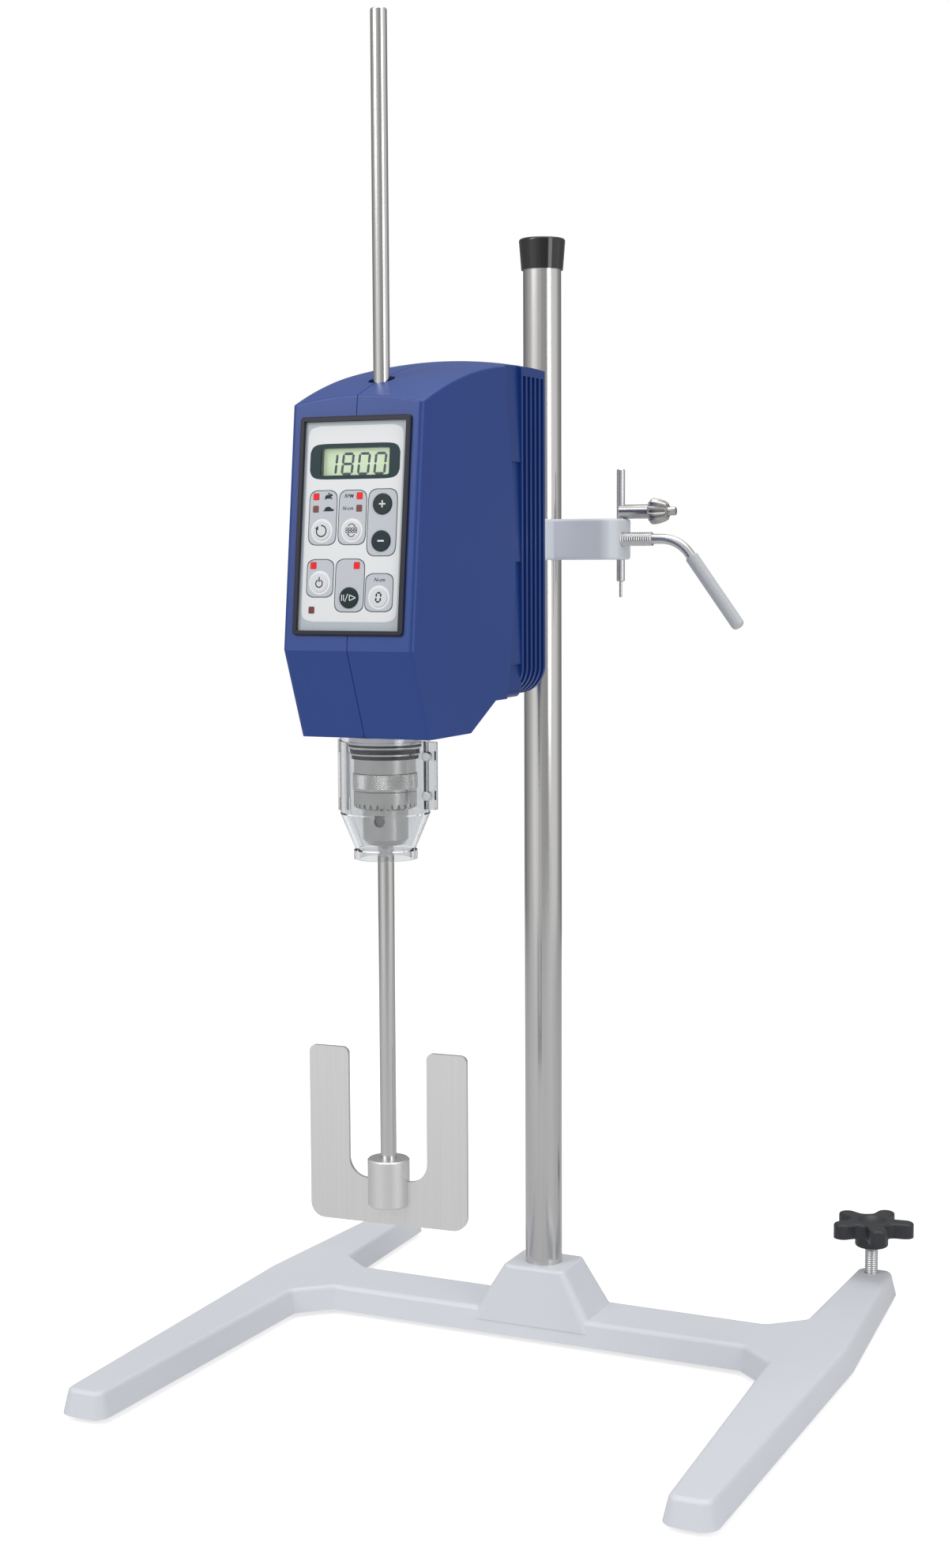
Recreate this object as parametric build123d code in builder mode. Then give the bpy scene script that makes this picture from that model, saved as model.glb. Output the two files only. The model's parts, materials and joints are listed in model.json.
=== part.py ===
"""Overhead laboratory stirrer on an H-base stand, in millimetres, +Z up.

The origin is on the bench at the middle of the footprint. +X runs along the crossbar to the
levelling knob's side, and -Y is the front, where the stirring shaft and the vessel are.
"""
from build123d import *
import os
from math import atan, cos, degrees, pi, radians, sin, sqrt, tan

os.makedirs("parts", exist_ok=True)

# ---------------------------------------------------------------- driving dimensions
rod_y = 47.71               # support rod axis, behind the middle of the footprint
shaft_y = rod_y - 236.7     # stirring axis, in front of the rod
fit_gap = 0.05              # radial clearance of a running fit
wide_gap = 0.3              # clearance between bodies that only pass each other

# H-base casting
base_top = 19.8
base_under = 3.4
draft_angle = 13.4
leg_front_half, leg_front_width, leg_front_length = 212.5, 25.4, 268.7
leg_mid_half = 216.25
leg_back_half, leg_back_width, leg_back_length = 203.1, 23.7, 169.2
leg_inner_half = 176.3
crossbar_half = 23.5
web_x, web_y = 23.5, 20.9
boss_top = 50.9
boss_top_size = (44.6, 40.2)
boss_foot_size = (92.0, 52.0)
pad_length, pad_width = 34.0, 18.0

# support rod
rod_radius = 12.7
rod_bottom, rod_top = 6.0, 741.0
cap_bottom, cap_top = 726.6, 747.0
cap_bottom_radius, cap_top_radius = 13.9, 15.5

# levelling screw at the back end of the right leg
level_x = 190.3
level_y = rod_y + 159.0
level_stud_radius = 4.75
level_pitch = 1.5875
foot_disc_radius, foot_disc_height = 8.0, 3.0
knob_hub_bottom, knob_plate_bottom, knob_top = 39.8, 48.2, 59.0
knob_radius, knob_lobe_width, knob_hub_radius = 30.0, 13.0, 11.9
knob_lobes = 5
knob_turn = -64.5

# clamp on the rod
clamp_bottom, clamp_top = 535.0, 562.0
clamp_axis_z = 0.5 * (clamp_bottom + clamp_top)
clamp_front, clamp_back = -16.5, 17.5
clamp_end = 57.3
clamp_round_x = -5.0
socket_width, socket_front = 30.0, -60.0
stem_radius = 6.35
stem_end = -22.0
screw_radius, screw_start, screw_end = 4.6, 15.7, 78.5
lever_radius, lever_bend_radius = 3.3, 24.0
lever_corner_x = 97.0
lever_droop = 54.0
grip_radius, grip_length = 4.35, 57.0

# chuck key parked in the clamp
key_x, key_y = 51.8, rod_y + 11.5
key_axis_z = clamp_top + 4.75
key_bar_radius, key_bar_bottom, key_bar_top = 2.75, 520.4, 595.0
key_pin_radius, key_pin_bottom = 1.0, 510.0
key_shank_radius, key_shank_end = 4.7, 21.5
pinion_radius, pinion_tip_radius, pinion_end = 8.7, 6.0, 33.3
pilot_radius, pilot_end = 2.85, 39.0
pinion_teeth = 11

# head housing: side profile, measured from the rod axis
head_half = 41.5
wall = 3.0
nose_bottom = (-262.0, 434.3)
nose_bend = (-283.0, 485.0)
nose_top = (-265.0, 645.0)
head_bottom_rear = (-206.6, 434.3)
head_chamfer_top = (-170.6, 451.4)
head_split = -154.0
head_bulge = (-141.0, 545.0)
head_bulge_top = 628.0
crown_apex_y, crown_apex_z = -118.0, 657.0
crown_length_radius, crown_width_radius = 400.0, 200.0
shaft_hole_radius = 7.75

# ribbed rear cover
cover_neck_half = 39.3
cover_rib_start, cover_back = -131.0, -93.0
cover_corner = 18.0
rib_pitch, groove_width, groove_depth, groove_count = 6.8, 4.2, 4.0, 5
groove_top = 647.0
louvre_levels = (645.0, 593.8, 533.3, 470.7, 455.0)
louvre_rise, louvre_ledge = 1.5, 1.0
inlet_z = 471.0

# front panel: a plane that leans back with the housing's face
panel_centre_y, panel_centre_z = rod_y - 276.2, 555.2
panel_lean = 6.42
bezel_width, bezel_height, bezel_rim = 69.6, 123.6, 2.6
overlay_depth, overlay_thickness = -1.2, 1.6
window_width, window_height, window_v = 43.8, 16.0, 36.4
key_columns = (-19.2, 0.0, 18.7)
small_key, large_key = 5.5, 6.0
key_travel = 0.5
led_width, led_height, led_corner = 3.4, 3.6, 0.6
lcd_recess = 4.5
seam_width, seam_depth = 0.5, 0.4

# drive train
spindle_bore, spindle_radius = 5.1, 8.5
spindle_top = 596.0
bearing_radius, bearing_height = 17.5, 10.0
lower_bearing_z, upper_bearing_z = 437.0, 545.0
quill_radius, quill_bore = 21.0, 15.5
deck_bottom, deck_top = 556.0, 562.0
motor_y, motor_radius, motor_bottom = rod_y - 160.0, 30.0, 474.0
motor_shaft_radius = 4.0
pulley_bottom, pulley_height = 566.0, 12.0
spindle_pulley_radius, motor_pulley_radius = 20.0, 10.0
flange_step, flange_rim = 2.0, 1.0
belt_gap, belt_thickness = 0.3, 1.5

# keyed chuck
chuck_top, chuck_shoulder, nose_end = 421.0, 412.8, 370.9
chuck_radius, nose_radius, nose_chamfer_radius, nose_chamfer_z = 18.0, 13.3, 10.35, 374.2
sleeve_radius, sleeve_bottom, sleeve_top = 18.4, 391.5, 412.5
sleeve_teeth, tooth_depth, gap_foot, gap_root = 28, 3.6, 1.35, 0.45
key_hole_radius, key_hole_z = 3.2, 385.3
jaw_radius, jaw_lean, jaw_back_radius, jaw_top = 3.0, 8.0, 12.75, 402.0
jaw_bottom = 371.2

# spindle nose and splash guard
collar_radius, collar_bottom = 21.25, 427.0
guard_radius, guard_wall = 26.2, 2.2
guard_top, guard_shoulder, guard_cone_end, guard_bottom = 434.3, 388.8, 368.0, 362.1
guard_cone_radius, guard_lip_radius, guard_mouth = 17.6, 18.6, 15.4
flange_reach, flange_thickness, flange_foot = 33.0, 2.05, 392.0
hinge_x, hinge_radius, hinge_pin_radius = -28.8, 2.1, 1.0

# stirring shaft and anchor paddle
shaft_radius, shaft_bottom, shaft_top = 4.7625, 170.0, 845.8
hub_radius, hub_bottom, hub_top = 12.5, 154.0, 182.5
blade_half, blade_inner_half, blade_thickness = 50.4, 25.1, 2.5
blade_bottom, blade_inner_bottom, blade_top = 142.4, 169.3, 247.6
blade_turn = 3.5

# ---------------------------------------------------------------- shared planes and axes
rod_axis = Axis((0, rod_y, 0), (0, 0, 1))
shaft_axis = Axis((0, shaft_y, 0), (0, 0, 1))
motor_axis = Axis((0, motor_y, 0), (0, 0, 1))
panel_normal = (0, -cos(radians(panel_lean)), sin(radians(panel_lean)))


def section_plane(axis_y):
    """Upright plane through a vertical axis: local x is the radius, local y the height."""
    return Plane(origin=(0, axis_y, 0), x_dir=(1, 0, 0), z_dir=(0, -1, 0))


def half_section(axis_y, points):
    """Closed outline beside a vertical axis, to be revolved about it."""
    with BuildSketch(section_plane(axis_y)) as section:
        with BuildLine():
            Polyline(*points, close=True)
        make_face()
    return section.sketch


def panel_plane(height=0.0):
    """Plane parallel to the front panel, this far in front of the housing's face."""
    face = Plane(origin=(0, panel_centre_y, panel_centre_z), x_dir=(1, 0, 0), z_dir=panel_normal)
    return face.offset(height)


# ---------------------------------------------------------------- base
def leg_outline():
    """Right half of the H, from the front of the crossbar round the leg to its back."""
    return [
        (leg_inner_half - web_x, -crossbar_half),
        (leg_inner_half, -crossbar_half - web_y),
        (leg_front_half - leg_front_width, -leg_front_length),
        (leg_front_half, -leg_front_length),
        (leg_mid_half, 0),
        (leg_back_half, leg_back_length),
        (leg_back_half - leg_back_width, leg_back_length),
        (leg_inner_half, crossbar_half + web_y),
        (leg_inner_half - web_x, crossbar_half),
    ]


right_side = [(x, rod_y + y) for x, y in leg_outline()]
left_side = [(-x, y) for x, y in reversed(right_side)]
with BuildPart() as base_casting:
    with BuildSketch(Plane.XY.offset(base_top)) as footprint:
        with BuildLine():
            Polyline(*right_side, *left_side, close=True)
        make_face()
        leg_ends = footprint.vertices().filter_by(lambda v: abs(v.Y - rod_y) > 0.5 * leg_back_length)
        fillet(leg_ends, radius=6)
        webs = footprint.vertices().filter_by(lambda v: 20 < abs(v.Y - rod_y) < 50)
        fillet(webs, radius=9)
    extrude(amount=-(base_top - base_under), taper=-draft_angle)
    fillet(base_casting.edges().group_by(Axis.Z)[-1], radius=3.5)
    with BuildSketch(Plane.XY.offset(base_top - 8)):
        with Locations((0, rod_y)):
            RectangleRounded(*boss_foot_size, 7)
    with BuildSketch(Plane.XY.offset(boss_top)):
        with Locations((0, rod_y)):
            RectangleRounded(*boss_top_size, 5)
    loft()
    fillet(base_casting.faces().sort_by(Axis.Z)[-1].edges(), radius=2.5)
    with Locations((0, rod_y, rod_bottom)):
        Cylinder(rod_radius + fit_gap, boss_top, align=(Align.CENTER, Align.CENTER, Align.MIN),
                 mode=Mode.SUBTRACT)
    with Locations((0, rod_y + 20, 34)):
        Cylinder(4, 30, rotation=(90, 0, 0), mode=Mode.SUBTRACT)
    with Locations((level_x, level_y, 0)):
        Cylinder(level_stud_radius + fit_gap, base_top + 1,
                 align=(Align.CENTER, Align.CENTER, Align.MIN), mode=Mode.SUBTRACT)
        Cylinder(foot_disc_radius + 1, 10, align=(Align.CENTER, Align.CENTER, Align.MIN),
                 mode=Mode.SUBTRACT)
base_casting.part.label = "base_casting"
export_step(base_casting.part, "parts/base_casting.step")

# three rubber pads; the levelling screw stands in for the fourth
pad_front_x = leg_front_half - 0.5 * leg_front_width
pad_back_x = leg_back_half - 0.5 * leg_back_width
pad_front_y = rod_y - leg_front_length + 0.5 * pad_length + 3
pad_back_y = rod_y + leg_back_length - 0.5 * pad_length - 3
with BuildPart() as foot_pads:
    with BuildSketch():
        with Locations((-pad_front_x, pad_front_y), (pad_front_x, pad_front_y), (-pad_back_x, pad_back_y)):
            RectangleRounded(pad_width, pad_length, 4)
    extrude(amount=base_under)
    chamfer(foot_pads.edges().group_by(Axis.Z)[0], length=0.8)
foot_pads.part.label = "foot_pads"
export_step(foot_pads.part, "parts/foot_pads.step")

with BuildPart() as rod_set_screw:
    with BuildSketch(Plane(origin=(0, rod_y + rod_radius + 2 * fit_gap, 34), z_dir=(0, 1, 0))):
        Circle(4)
    extrude(amount=8)
    with BuildSketch(rod_set_screw.faces().sort_by(Axis.Y)[-1]):
        RegularPolygon(2.3, 6)
    extrude(amount=-4, mode=Mode.SUBTRACT)
rod_set_screw.part.label = "rod_set_screw"
export_step(rod_set_screw.part, "parts/rod_set_screw.step")

# ---------------------------------------------------------------- support rod and cap
with BuildPart() as support_rod:
    with Locations((0, rod_y, rod_bottom + 0.2)):
        Cylinder(rod_radius, rod_top - rod_bottom - 0.2, align=(Align.CENTER, Align.CENTER, Align.MIN))
    chamfer(support_rod.edges().filter_by(GeomType.CIRCLE), length=1)
support_rod.part.label = "support_rod"
export_step(support_rod.part, "parts/support_rod.step")

cap_points = [
    (rod_radius, cap_bottom),
    (cap_bottom_radius, cap_bottom),
    (cap_top_radius, cap_top),
    (0, cap_top),
    (0, rod_top),
    (rod_radius, rod_top),
]
with BuildPart() as rod_cap:
    revolve(half_section(rod_y, cap_points), axis=rod_axis)
    fillet(rod_cap.edges().filter_by(GeomType.CIRCLE).sort_by(Axis.Z)[-1], radius=1.6)
rod_cap.part.label = "rod_cap"
export_step(rod_cap.part, "parts/rod_cap.step")

# ---------------------------------------------------------------- levelling screw
with BuildPart() as levelling_stud:
    with Locations((level_x, level_y, foot_disc_height)):
        Cylinder(level_stud_radius, 51, align=(Align.CENTER, Align.CENTER, Align.MIN))
    chamfer(levelling_stud.edges().group_by(Axis.Z)[-1], length=0.8)
levelling_stud.part.label = "levelling_stud"
export_step(levelling_stud.part, "parts/levelling_stud.step")

with BuildPart() as levelling_foot:
    with Locations((level_x, level_y, 0)):
        Cylinder(foot_disc_radius, foot_disc_height, align=(Align.CENTER, Align.CENTER, Align.MIN))
    fillet(levelling_foot.edges().group_by(Axis.Z)[-1], radius=1)
levelling_foot.part.label = "levelling_foot"
export_step(levelling_foot.part, "parts/levelling_foot.step")

knob_centre = Vector(level_x, level_y)
with BuildPart() as levelling_knob:
    with BuildSketch(Plane.XY.offset(knob_plate_bottom)) as star:
        with Locations((level_x, level_y)):
            Circle(16)
            with PolarLocations(0.5 * knob_radius, knob_lobes, start_angle=knob_turn):
                SlotOverall(knob_radius, knob_lobe_width)
        roots = star.vertices().filter_by(lambda v: 10 < (Vector(v.X, v.Y) - knob_centre).length < 19)
        fillet(roots, radius=5)
    extrude(amount=knob_top - knob_plate_bottom)
    fillet(levelling_knob.edges().group_by(Axis.Z)[-1], radius=1.8)
    with Locations((level_x, level_y, knob_hub_bottom)):
        Cylinder(knob_hub_radius, knob_plate_bottom - knob_hub_bottom + 1,
                 align=(Align.CENTER, Align.CENTER, Align.MIN))
    fillet(levelling_knob.edges().group_by(Axis.Z)[0], radius=1.5)
    with Locations((level_x, level_y, knob_top + 12)):
        Sphere(16, mode=Mode.SUBTRACT)
    with Locations((level_x, level_y, knob_hub_bottom - 1)):
        Cylinder(level_stud_radius + fit_gap, 16, align=(Align.CENTER, Align.CENTER, Align.MIN),
                 mode=Mode.SUBTRACT)
levelling_knob.part.label = "levelling_knob"
export_step(levelling_knob.part, "parts/levelling_knob.step")

# ---------------------------------------------------------------- clamp
clamp_mid_y = rod_y + 0.5 * (clamp_front + clamp_back)
clamp_depth = clamp_back - clamp_front
with BuildPart() as clamp_body:
    with BuildSketch(Plane.XY.offset(clamp_bottom)) as clamp_outline:
        with Locations((0.5 * (clamp_end + clamp_round_x), clamp_mid_y)):
            Rectangle(clamp_end - clamp_round_x, clamp_depth)
        end_corners = clamp_outline.vertices().group_by(Axis.X)[-1].sort_by(Axis.Y)
        fillet(end_corners[0], radius=10)
        fillet(clamp_outline.vertices().sort_by(Axis.Y)[-2:].sort_by(Axis.X)[-1], radius=3)
        with Locations((clamp_round_x, clamp_mid_y)):
            Circle(0.5 * clamp_depth)
        with Locations((0, rod_y + 0.5 * (socket_front + clamp_front) + 2)):
            Rectangle(socket_width, clamp_front - socket_front + 4)
        fillet(clamp_outline.vertices().group_by(Axis.Y)[0], radius=4)
    extrude(amount=clamp_top - clamp_bottom)
    outline_edges = clamp_body.edges().filter_by(Plane.XY)
    fillet(outline_edges, radius=2)
    with Locations((0, rod_y, clamp_axis_z)):
        Cylinder(rod_radius + fit_gap, 40, mode=Mode.SUBTRACT)
    with Locations((0.5 * (clamp_end + 8), rod_y, clamp_axis_z)):
        Cylinder(screw_radius + fit_gap, clamp_end, rotation=(0, 90, 0), mode=Mode.SUBTRACT)
    with Locations((key_x, key_y, clamp_axis_z)):
        Cylinder(key_bar_radius + 2 * fit_gap, 40, mode=Mode.SUBTRACT)
    with Locations((0, rod_y + 0.5 * (socket_front - 5 + stem_end + 2), clamp_axis_z)):
        Cylinder(stem_radius + fit_gap, stem_end + 2 - socket_front + 5, rotation=(90, 0, 0),
                 mode=Mode.SUBTRACT)
    with Locations((0, rod_y - 42, clamp_axis_z)):
        Cylinder(3, 30, align=(Align.CENTER, Align.CENTER, Align.MIN), mode=Mode.SUBTRACT)
clamp_body.part.label = "clamp_body"
export_step(clamp_body.part, "parts/clamp_body.step")

with BuildPart() as stem_lock_screw:
    with Locations((0, rod_y - 42, clamp_axis_z + stem_radius + 2 * fit_gap)):
        Cylinder(3, 8, align=(Align.CENTER, Align.CENTER, Align.MIN))
    with BuildSketch(stem_lock_screw.faces().sort_by(Axis.Z)[-1]):
        RegularPolygon(1.7, 6)
    extrude(amount=-3, mode=Mode.SUBTRACT)
stem_lock_screw.part.label = "stem_lock_screw"
export_step(stem_lock_screw.part, "parts/stem_lock_screw.step")

with BuildPart() as clamp_pad:
    with BuildSketch(Plane(origin=(rod_radius + 2 * fit_gap, rod_y, clamp_axis_z), z_dir=(1, 0, 0))):
        Circle(4)
    extrude(amount=screw_start - rod_radius - 3 * fit_gap)
clamp_pad.part.label = "clamp_pad"
export_step(clamp_pad.part, "parts/clamp_pad.step")

# screw and bent lever are one bar; its outer end points down and out
lever_direction = Vector(cos(radians(lever_droop)), 0, -sin(radians(lever_droop)))
lever_corner = Vector(lever_corner_x, rod_y, clamp_axis_z)
grip_start = lever_corner + lever_direction * 14.3
lever_tip = grip_start + lever_direction * (grip_length - 8)
with BuildPart() as clamp_lever:
    with BuildSketch(Plane(origin=(screw_start, rod_y, clamp_axis_z), z_dir=(1, 0, 0))):
        Circle(screw_radius)
    extrude(amount=screw_end - screw_start)
    chamfer(clamp_lever.edges().group_by(Axis.X)[-1], length=1)
    with BuildLine() as lever_path:
        FilletPolyline((screw_end - 3, rod_y, clamp_axis_z), lever_corner, lever_tip, radius=lever_bend_radius)
    with BuildSketch(Plane(origin=(screw_end - 3, rod_y, clamp_axis_z), z_dir=(1, 0, 0))):
        Circle(lever_radius)
    sweep(path=lever_path.line)
clamp_lever.part.label = "clamp_lever"
export_step(clamp_lever.part, "parts/clamp_lever.step")

with BuildPart() as lever_grip:
    with BuildSketch(Plane(origin=grip_start, z_dir=lever_direction)):
        Circle(grip_radius)
    extrude(amount=grip_length)
    fillet(lever_grip.edges().sort_by(Axis.Z)[0], radius=3)
    fillet(lever_grip.edges().filter_by(GeomType.CIRCLE).sort_by(Axis.Z)[-1], radius=0.8)
    with BuildSketch(Plane(origin=grip_start, z_dir=lever_direction)):
        Circle(lever_radius)
    extrude(amount=grip_length - 8, mode=Mode.SUBTRACT)
lever_grip.part.label = "lever_grip"
export_step(lever_grip.part, "parts/lever_grip.step")

# ---------------------------------------------------------------- chuck key
with BuildPart() as key_bar:
    with Locations((key_x, key_y, key_bar_bottom)):
        Cylinder(key_bar_radius, key_bar_top - key_bar_bottom, align=(Align.CENTER, Align.CENTER, Align.MIN))
    chamfer(key_bar.edges().filter_by(GeomType.CIRCLE), length=0.7)
    with Locations((key_x, key_y, key_pin_bottom)):
        Cylinder(key_pin_radius, key_bar_bottom - key_pin_bottom + 1,
                 align=(Align.CENTER, Align.CENTER, Align.MIN))
key_bar.part.label = "key_bar"
export_step(key_bar.part, "parts/key_bar.step")

key_points = [
    (0, 0),
    (0, key_shank_radius),
    (key_shank_end, key_shank_radius),
    (key_shank_end, pinion_radius - 1.5),
    (key_shank_end + 2, pinion_radius),
    (key_shank_end + 4, pinion_radius),
    (pinion_end, pinion_tip_radius),
    (pinion_end, pilot_radius),
    (pilot_end - 0.8, pilot_radius),
    (pilot_end, pilot_radius - 0.8),
    (pilot_end, 0),
]
key_section = Plane(origin=(key_x, key_y, key_axis_z), x_dir=(1, 0, 0), z_dir=(0, -1, 0))
key_face = Plane(origin=(key_x + key_shank_end, key_y, key_axis_z), x_dir=(0, 1, 0), z_dir=(1, 0, 0))
pinion_slope = degrees(atan((pinion_radius - pinion_tip_radius) / (pinion_end - key_shank_end - 4)))
with BuildPart() as key_pinion:
    with BuildSketch(key_section):
        with BuildLine():
            Polyline(*key_points, close=True)
        make_face()
    revolve(axis=Axis((key_x, key_y, key_axis_z), (1, 0, 0)))
    with Locations(key_face):
        with PolarLocations(pinion_radius - 0.2, pinion_teeth):
            Cylinder(1.35, 40, rotation=(0, -pinion_slope, 0), mode=Mode.SUBTRACT)
    with Locations((key_x + 0.5 * key_shank_end, key_y, key_axis_z)):
        Cylinder(key_shank_radius, key_shank_end, rotation=(0, 90, 0))
    with Locations((key_x, key_y, key_axis_z)):
        Cylinder(key_bar_radius, 30, mode=Mode.SUBTRACT)
    split(bisect_by=Plane(origin=(key_x, key_y, key_axis_z), z_dir=(1, 0, 0)), keep=Keep.TOP)
key_pinion.part.label = "key_pinion"
export_step(key_pinion.part, "parts/key_pinion.step")

# ---------------------------------------------------------------- head housing
def crown_section(inset):
    """Region under the arched roof line, to be revolved about the roof's long radius."""
    apex = crown_apex_z - inset
    edge_x = 60
    edge_z = apex - crown_width_radius + sqrt(crown_width_radius**2 - edge_x**2)
    floor = crown_apex_z - crown_length_radius
    with BuildSketch(section_plane(rod_y + crown_apex_y)) as section:
        with BuildLine():
            ThreePointArc((-edge_x, edge_z), (0, apex), (edge_x, edge_z))
            Polyline((edge_x, edge_z), (edge_x, floor), (-edge_x, floor), (-edge_x, edge_z))
        make_face()
    return section.sketch


def crown_axis():
    """Cross axis far below the roof, about which the roof line is swept."""
    return Axis((0, rod_y + crown_apex_y, crown_apex_z - crown_length_radius), (1, 0, 0))


def at_rod(point):
    """Side profile point, moved from the rod axis into the part's frame."""
    return (point[0] + rod_y, point[1])


def housing_side():
    """Side profile of the two shells, up to the joint with the rear cover."""
    bulge_top = at_rod((head_split, head_bulge_top))
    bulge_foot = at_rod((head_split, head_chamfer_top[1]))
    with BuildSketch(Plane.YZ) as side:
        with BuildLine():
            Polyline(
                bulge_foot,
                at_rod(head_chamfer_top),
                at_rod(head_bottom_rear),
                at_rod(nose_bottom),
                at_rod(nose_bend),
                at_rod(nose_top),
                (at_rod(nose_top)[0], crown_apex_z + 5),
                at_rod((head_split, crown_apex_z + 5)),
                bulge_top,
            )
            ThreePointArc(bulge_top, at_rod(head_bulge), bulge_foot)
        make_face()
    return side.sketch


def cavity_side():
    """The same profile, one wall thickness inside, and open at the rear."""
    rear = head_split + 40
    with BuildSketch(Plane.YZ) as side:
        with BuildLine():
            Polyline(
                at_rod((rear, head_chamfer_top[1] + wall)),
                at_rod((head_chamfer_top[0] - 1, head_chamfer_top[1] + wall)),
                at_rod((head_bottom_rear[0] - 1, head_bottom_rear[1] + wall)),
                at_rod((nose_bottom[0] + 2, nose_bottom[1] + wall)),
                at_rod((nose_bend[0] + wall, nose_bend[1])),
                at_rod((nose_top[0] + wall, nose_top[1])),
                at_rod((nose_top[0] + wall, crown_apex_z + 5)),
                at_rod((rear, crown_apex_z + 5)),
                close=True,
            )
        make_face()
    return side.sketch


with BuildPart() as head_cavity:
    extrude(cavity_side(), amount=head_half - wall, both=True)
    revolve(crown_section(wall), axis=crown_axis(), mode=Mode.INTERSECT)

# shallow groove where the two shells meet
with BuildPart() as seam_core:
    extrude(offset(housing_side(), amount=-seam_depth), amount=seam_width, both=True)
    revolve(crown_section(seam_depth), axis=crown_axis(), mode=Mode.INTERSECT)

with BuildPart() as seam_groove:
    extrude(housing_side(), amount=0.5 * seam_width, both=True)
    add(seam_core.part, mode=Mode.SUBTRACT)

with BuildPart() as housing:
    extrude(housing_side(), amount=head_half, both=True)
    revolve(crown_section(0), axis=crown_axis(), mode=Mode.INTERSECT)
    front_edges = housing.edges().filter_by(lambda e: e.center().Y < rod_y + nose_bottom[0] + 3)
    upright = front_edges.filter_by(lambda e: abs(e.center().X) > head_half - 1)
    fillet(upright, radius=3)
    roof_edges = housing.edges().filter_by(lambda e: e.center().Z > 640 and abs(e.center().X) > 30)
    fillet(roof_edges.filter_by(lambda e: e.length > 60), radius=1.5)
    add(seam_groove.part, mode=Mode.SUBTRACT)
    add(head_cavity.part, mode=Mode.SUBTRACT)
    with BuildSketch(panel_plane(5)):
        RectangleRounded(bezel_width + 0.2, bezel_height + 0.2, 2.1)
    extrude(amount=-12, mode=Mode.SUBTRACT)
    with Locations((0, shaft_y, 640)):
        Cylinder(shaft_hole_radius, 60, mode=Mode.SUBTRACT)
    with Locations((0, shaft_y, guard_top)):
        Cylinder(quill_radius + 0.2, 20, mode=Mode.SUBTRACT)

with BuildPart() as housing_left:
    add(housing.part)
    split(bisect_by=Plane.YZ, keep=Keep.BOTTOM)
housing_left.part.label = "housing_left"
export_step(housing_left.part, "parts/housing_left.step")

with BuildPart() as housing_right:
    add(housing.part)
    split(bisect_by=Plane.YZ, keep=Keep.TOP)
housing_right.part.label = "housing_right"
export_step(housing_right.part, "parts/housing_right.step")


def cover_section(front_y, half, inset, corner):
    """Cross-section of the rear cover: straight sides, round lower corners, open roof."""
    floor = head_chamfer_top[1] + inset
    with BuildSketch(section_plane(front_y)) as section:
        with Locations((0, 0.5 * (floor + crown_apex_z + 5))):
            Rectangle(2 * half, crown_apex_z + 5 - floor)
        fillet(section.vertices().group_by(Axis.Y)[0], radius=corner)
    return section.sketch


neck_front = rod_y + head_split
rib_front = rod_y + cover_rib_start
cover_rear = rod_y + cover_back
with BuildPart() as cover_cavity:
    extrude(cover_section(neck_front - 1, head_half - groove_depth - wall, wall, cover_corner - groove_depth),
            amount=-(cover_rear - neck_front + 1 - wall))
    revolve(crown_section(wall), axis=crown_axis(), mode=Mode.INTERSECT)

with BuildPart() as rear_cover:
    extrude(cover_section(neck_front, cover_neck_half, 0, 3), amount=-(rib_front - neck_front + 1))
    extrude(cover_section(rib_front, head_half, 0, cover_corner), amount=-(cover_rear - rib_front))
    revolve(crown_section(0), axis=crown_axis(), mode=Mode.INTERSECT)
    rear_rim = rear_cover.faces().sort_by(Axis.Y)[-1].edges()
    fillet(rear_rim, radius=1.5)
    add(cover_cavity.part, mode=Mode.SUBTRACT)
    for groove in range(groove_count):
        groove_y = rib_front + rib_pitch - groove_width + groove * rib_pitch
        with BuildSketch(section_plane(groove_y)):
            with Locations((0, 0.5 * (430 + groove_top))):
                Rectangle(100, groove_top - 430)
            add(cover_section(groove_y, head_half - groove_depth, groove_depth, cover_corner - groove_depth),
                mode=Mode.SUBTRACT)
        extrude(amount=-groove_width, mode=Mode.SUBTRACT)
    for upper, lower in zip(louvre_levels[:-1], louvre_levels[1:]):
        with BuildSketch(section_plane(neck_front)) as louvre:
            with BuildLine():
                Polyline((cover_neck_half - 2, upper), (cover_neck_half, upper),
                         (cover_neck_half + louvre_rise, lower + louvre_ledge),
                         (cover_neck_half - 2, lower + louvre_ledge), close=True)
            make_face()
            mirror(about=Plane.YZ)
        extrude(amount=-(rib_front - neck_front + 1))
    add(housing.part, mode=Mode.SUBTRACT)
    with Locations((0, cover_rear, clamp_axis_z)):
        Cylinder(stem_radius + 0.2, 12, rotation=(90, 0, 0), mode=Mode.SUBTRACT)
    with Locations((0, cover_rear, inlet_z)):
        Box(27.2, 12, 20, mode=Mode.SUBTRACT)
rear_cover.part.label = "rear_cover"
export_step(rear_cover.part, "parts/rear_cover.step")

with BuildPart() as cover_screws:
    with BuildSketch(Plane(origin=(0, cover_rear, 0), x_dir=(1, 0, 0), z_dir=(0, 1, 0))):
        with Locations((-32, -500), (32, -500), (-32, -630), (32, -630)):
            Circle(3)
    extrude(amount=2)
    fillet(cover_screws.edges().group_by(Axis.Y)[-1], radius=1)
cover_screws.part.label = "cover_screws"
export_step(cover_screws.part, "parts/cover_screws.step")

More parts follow.
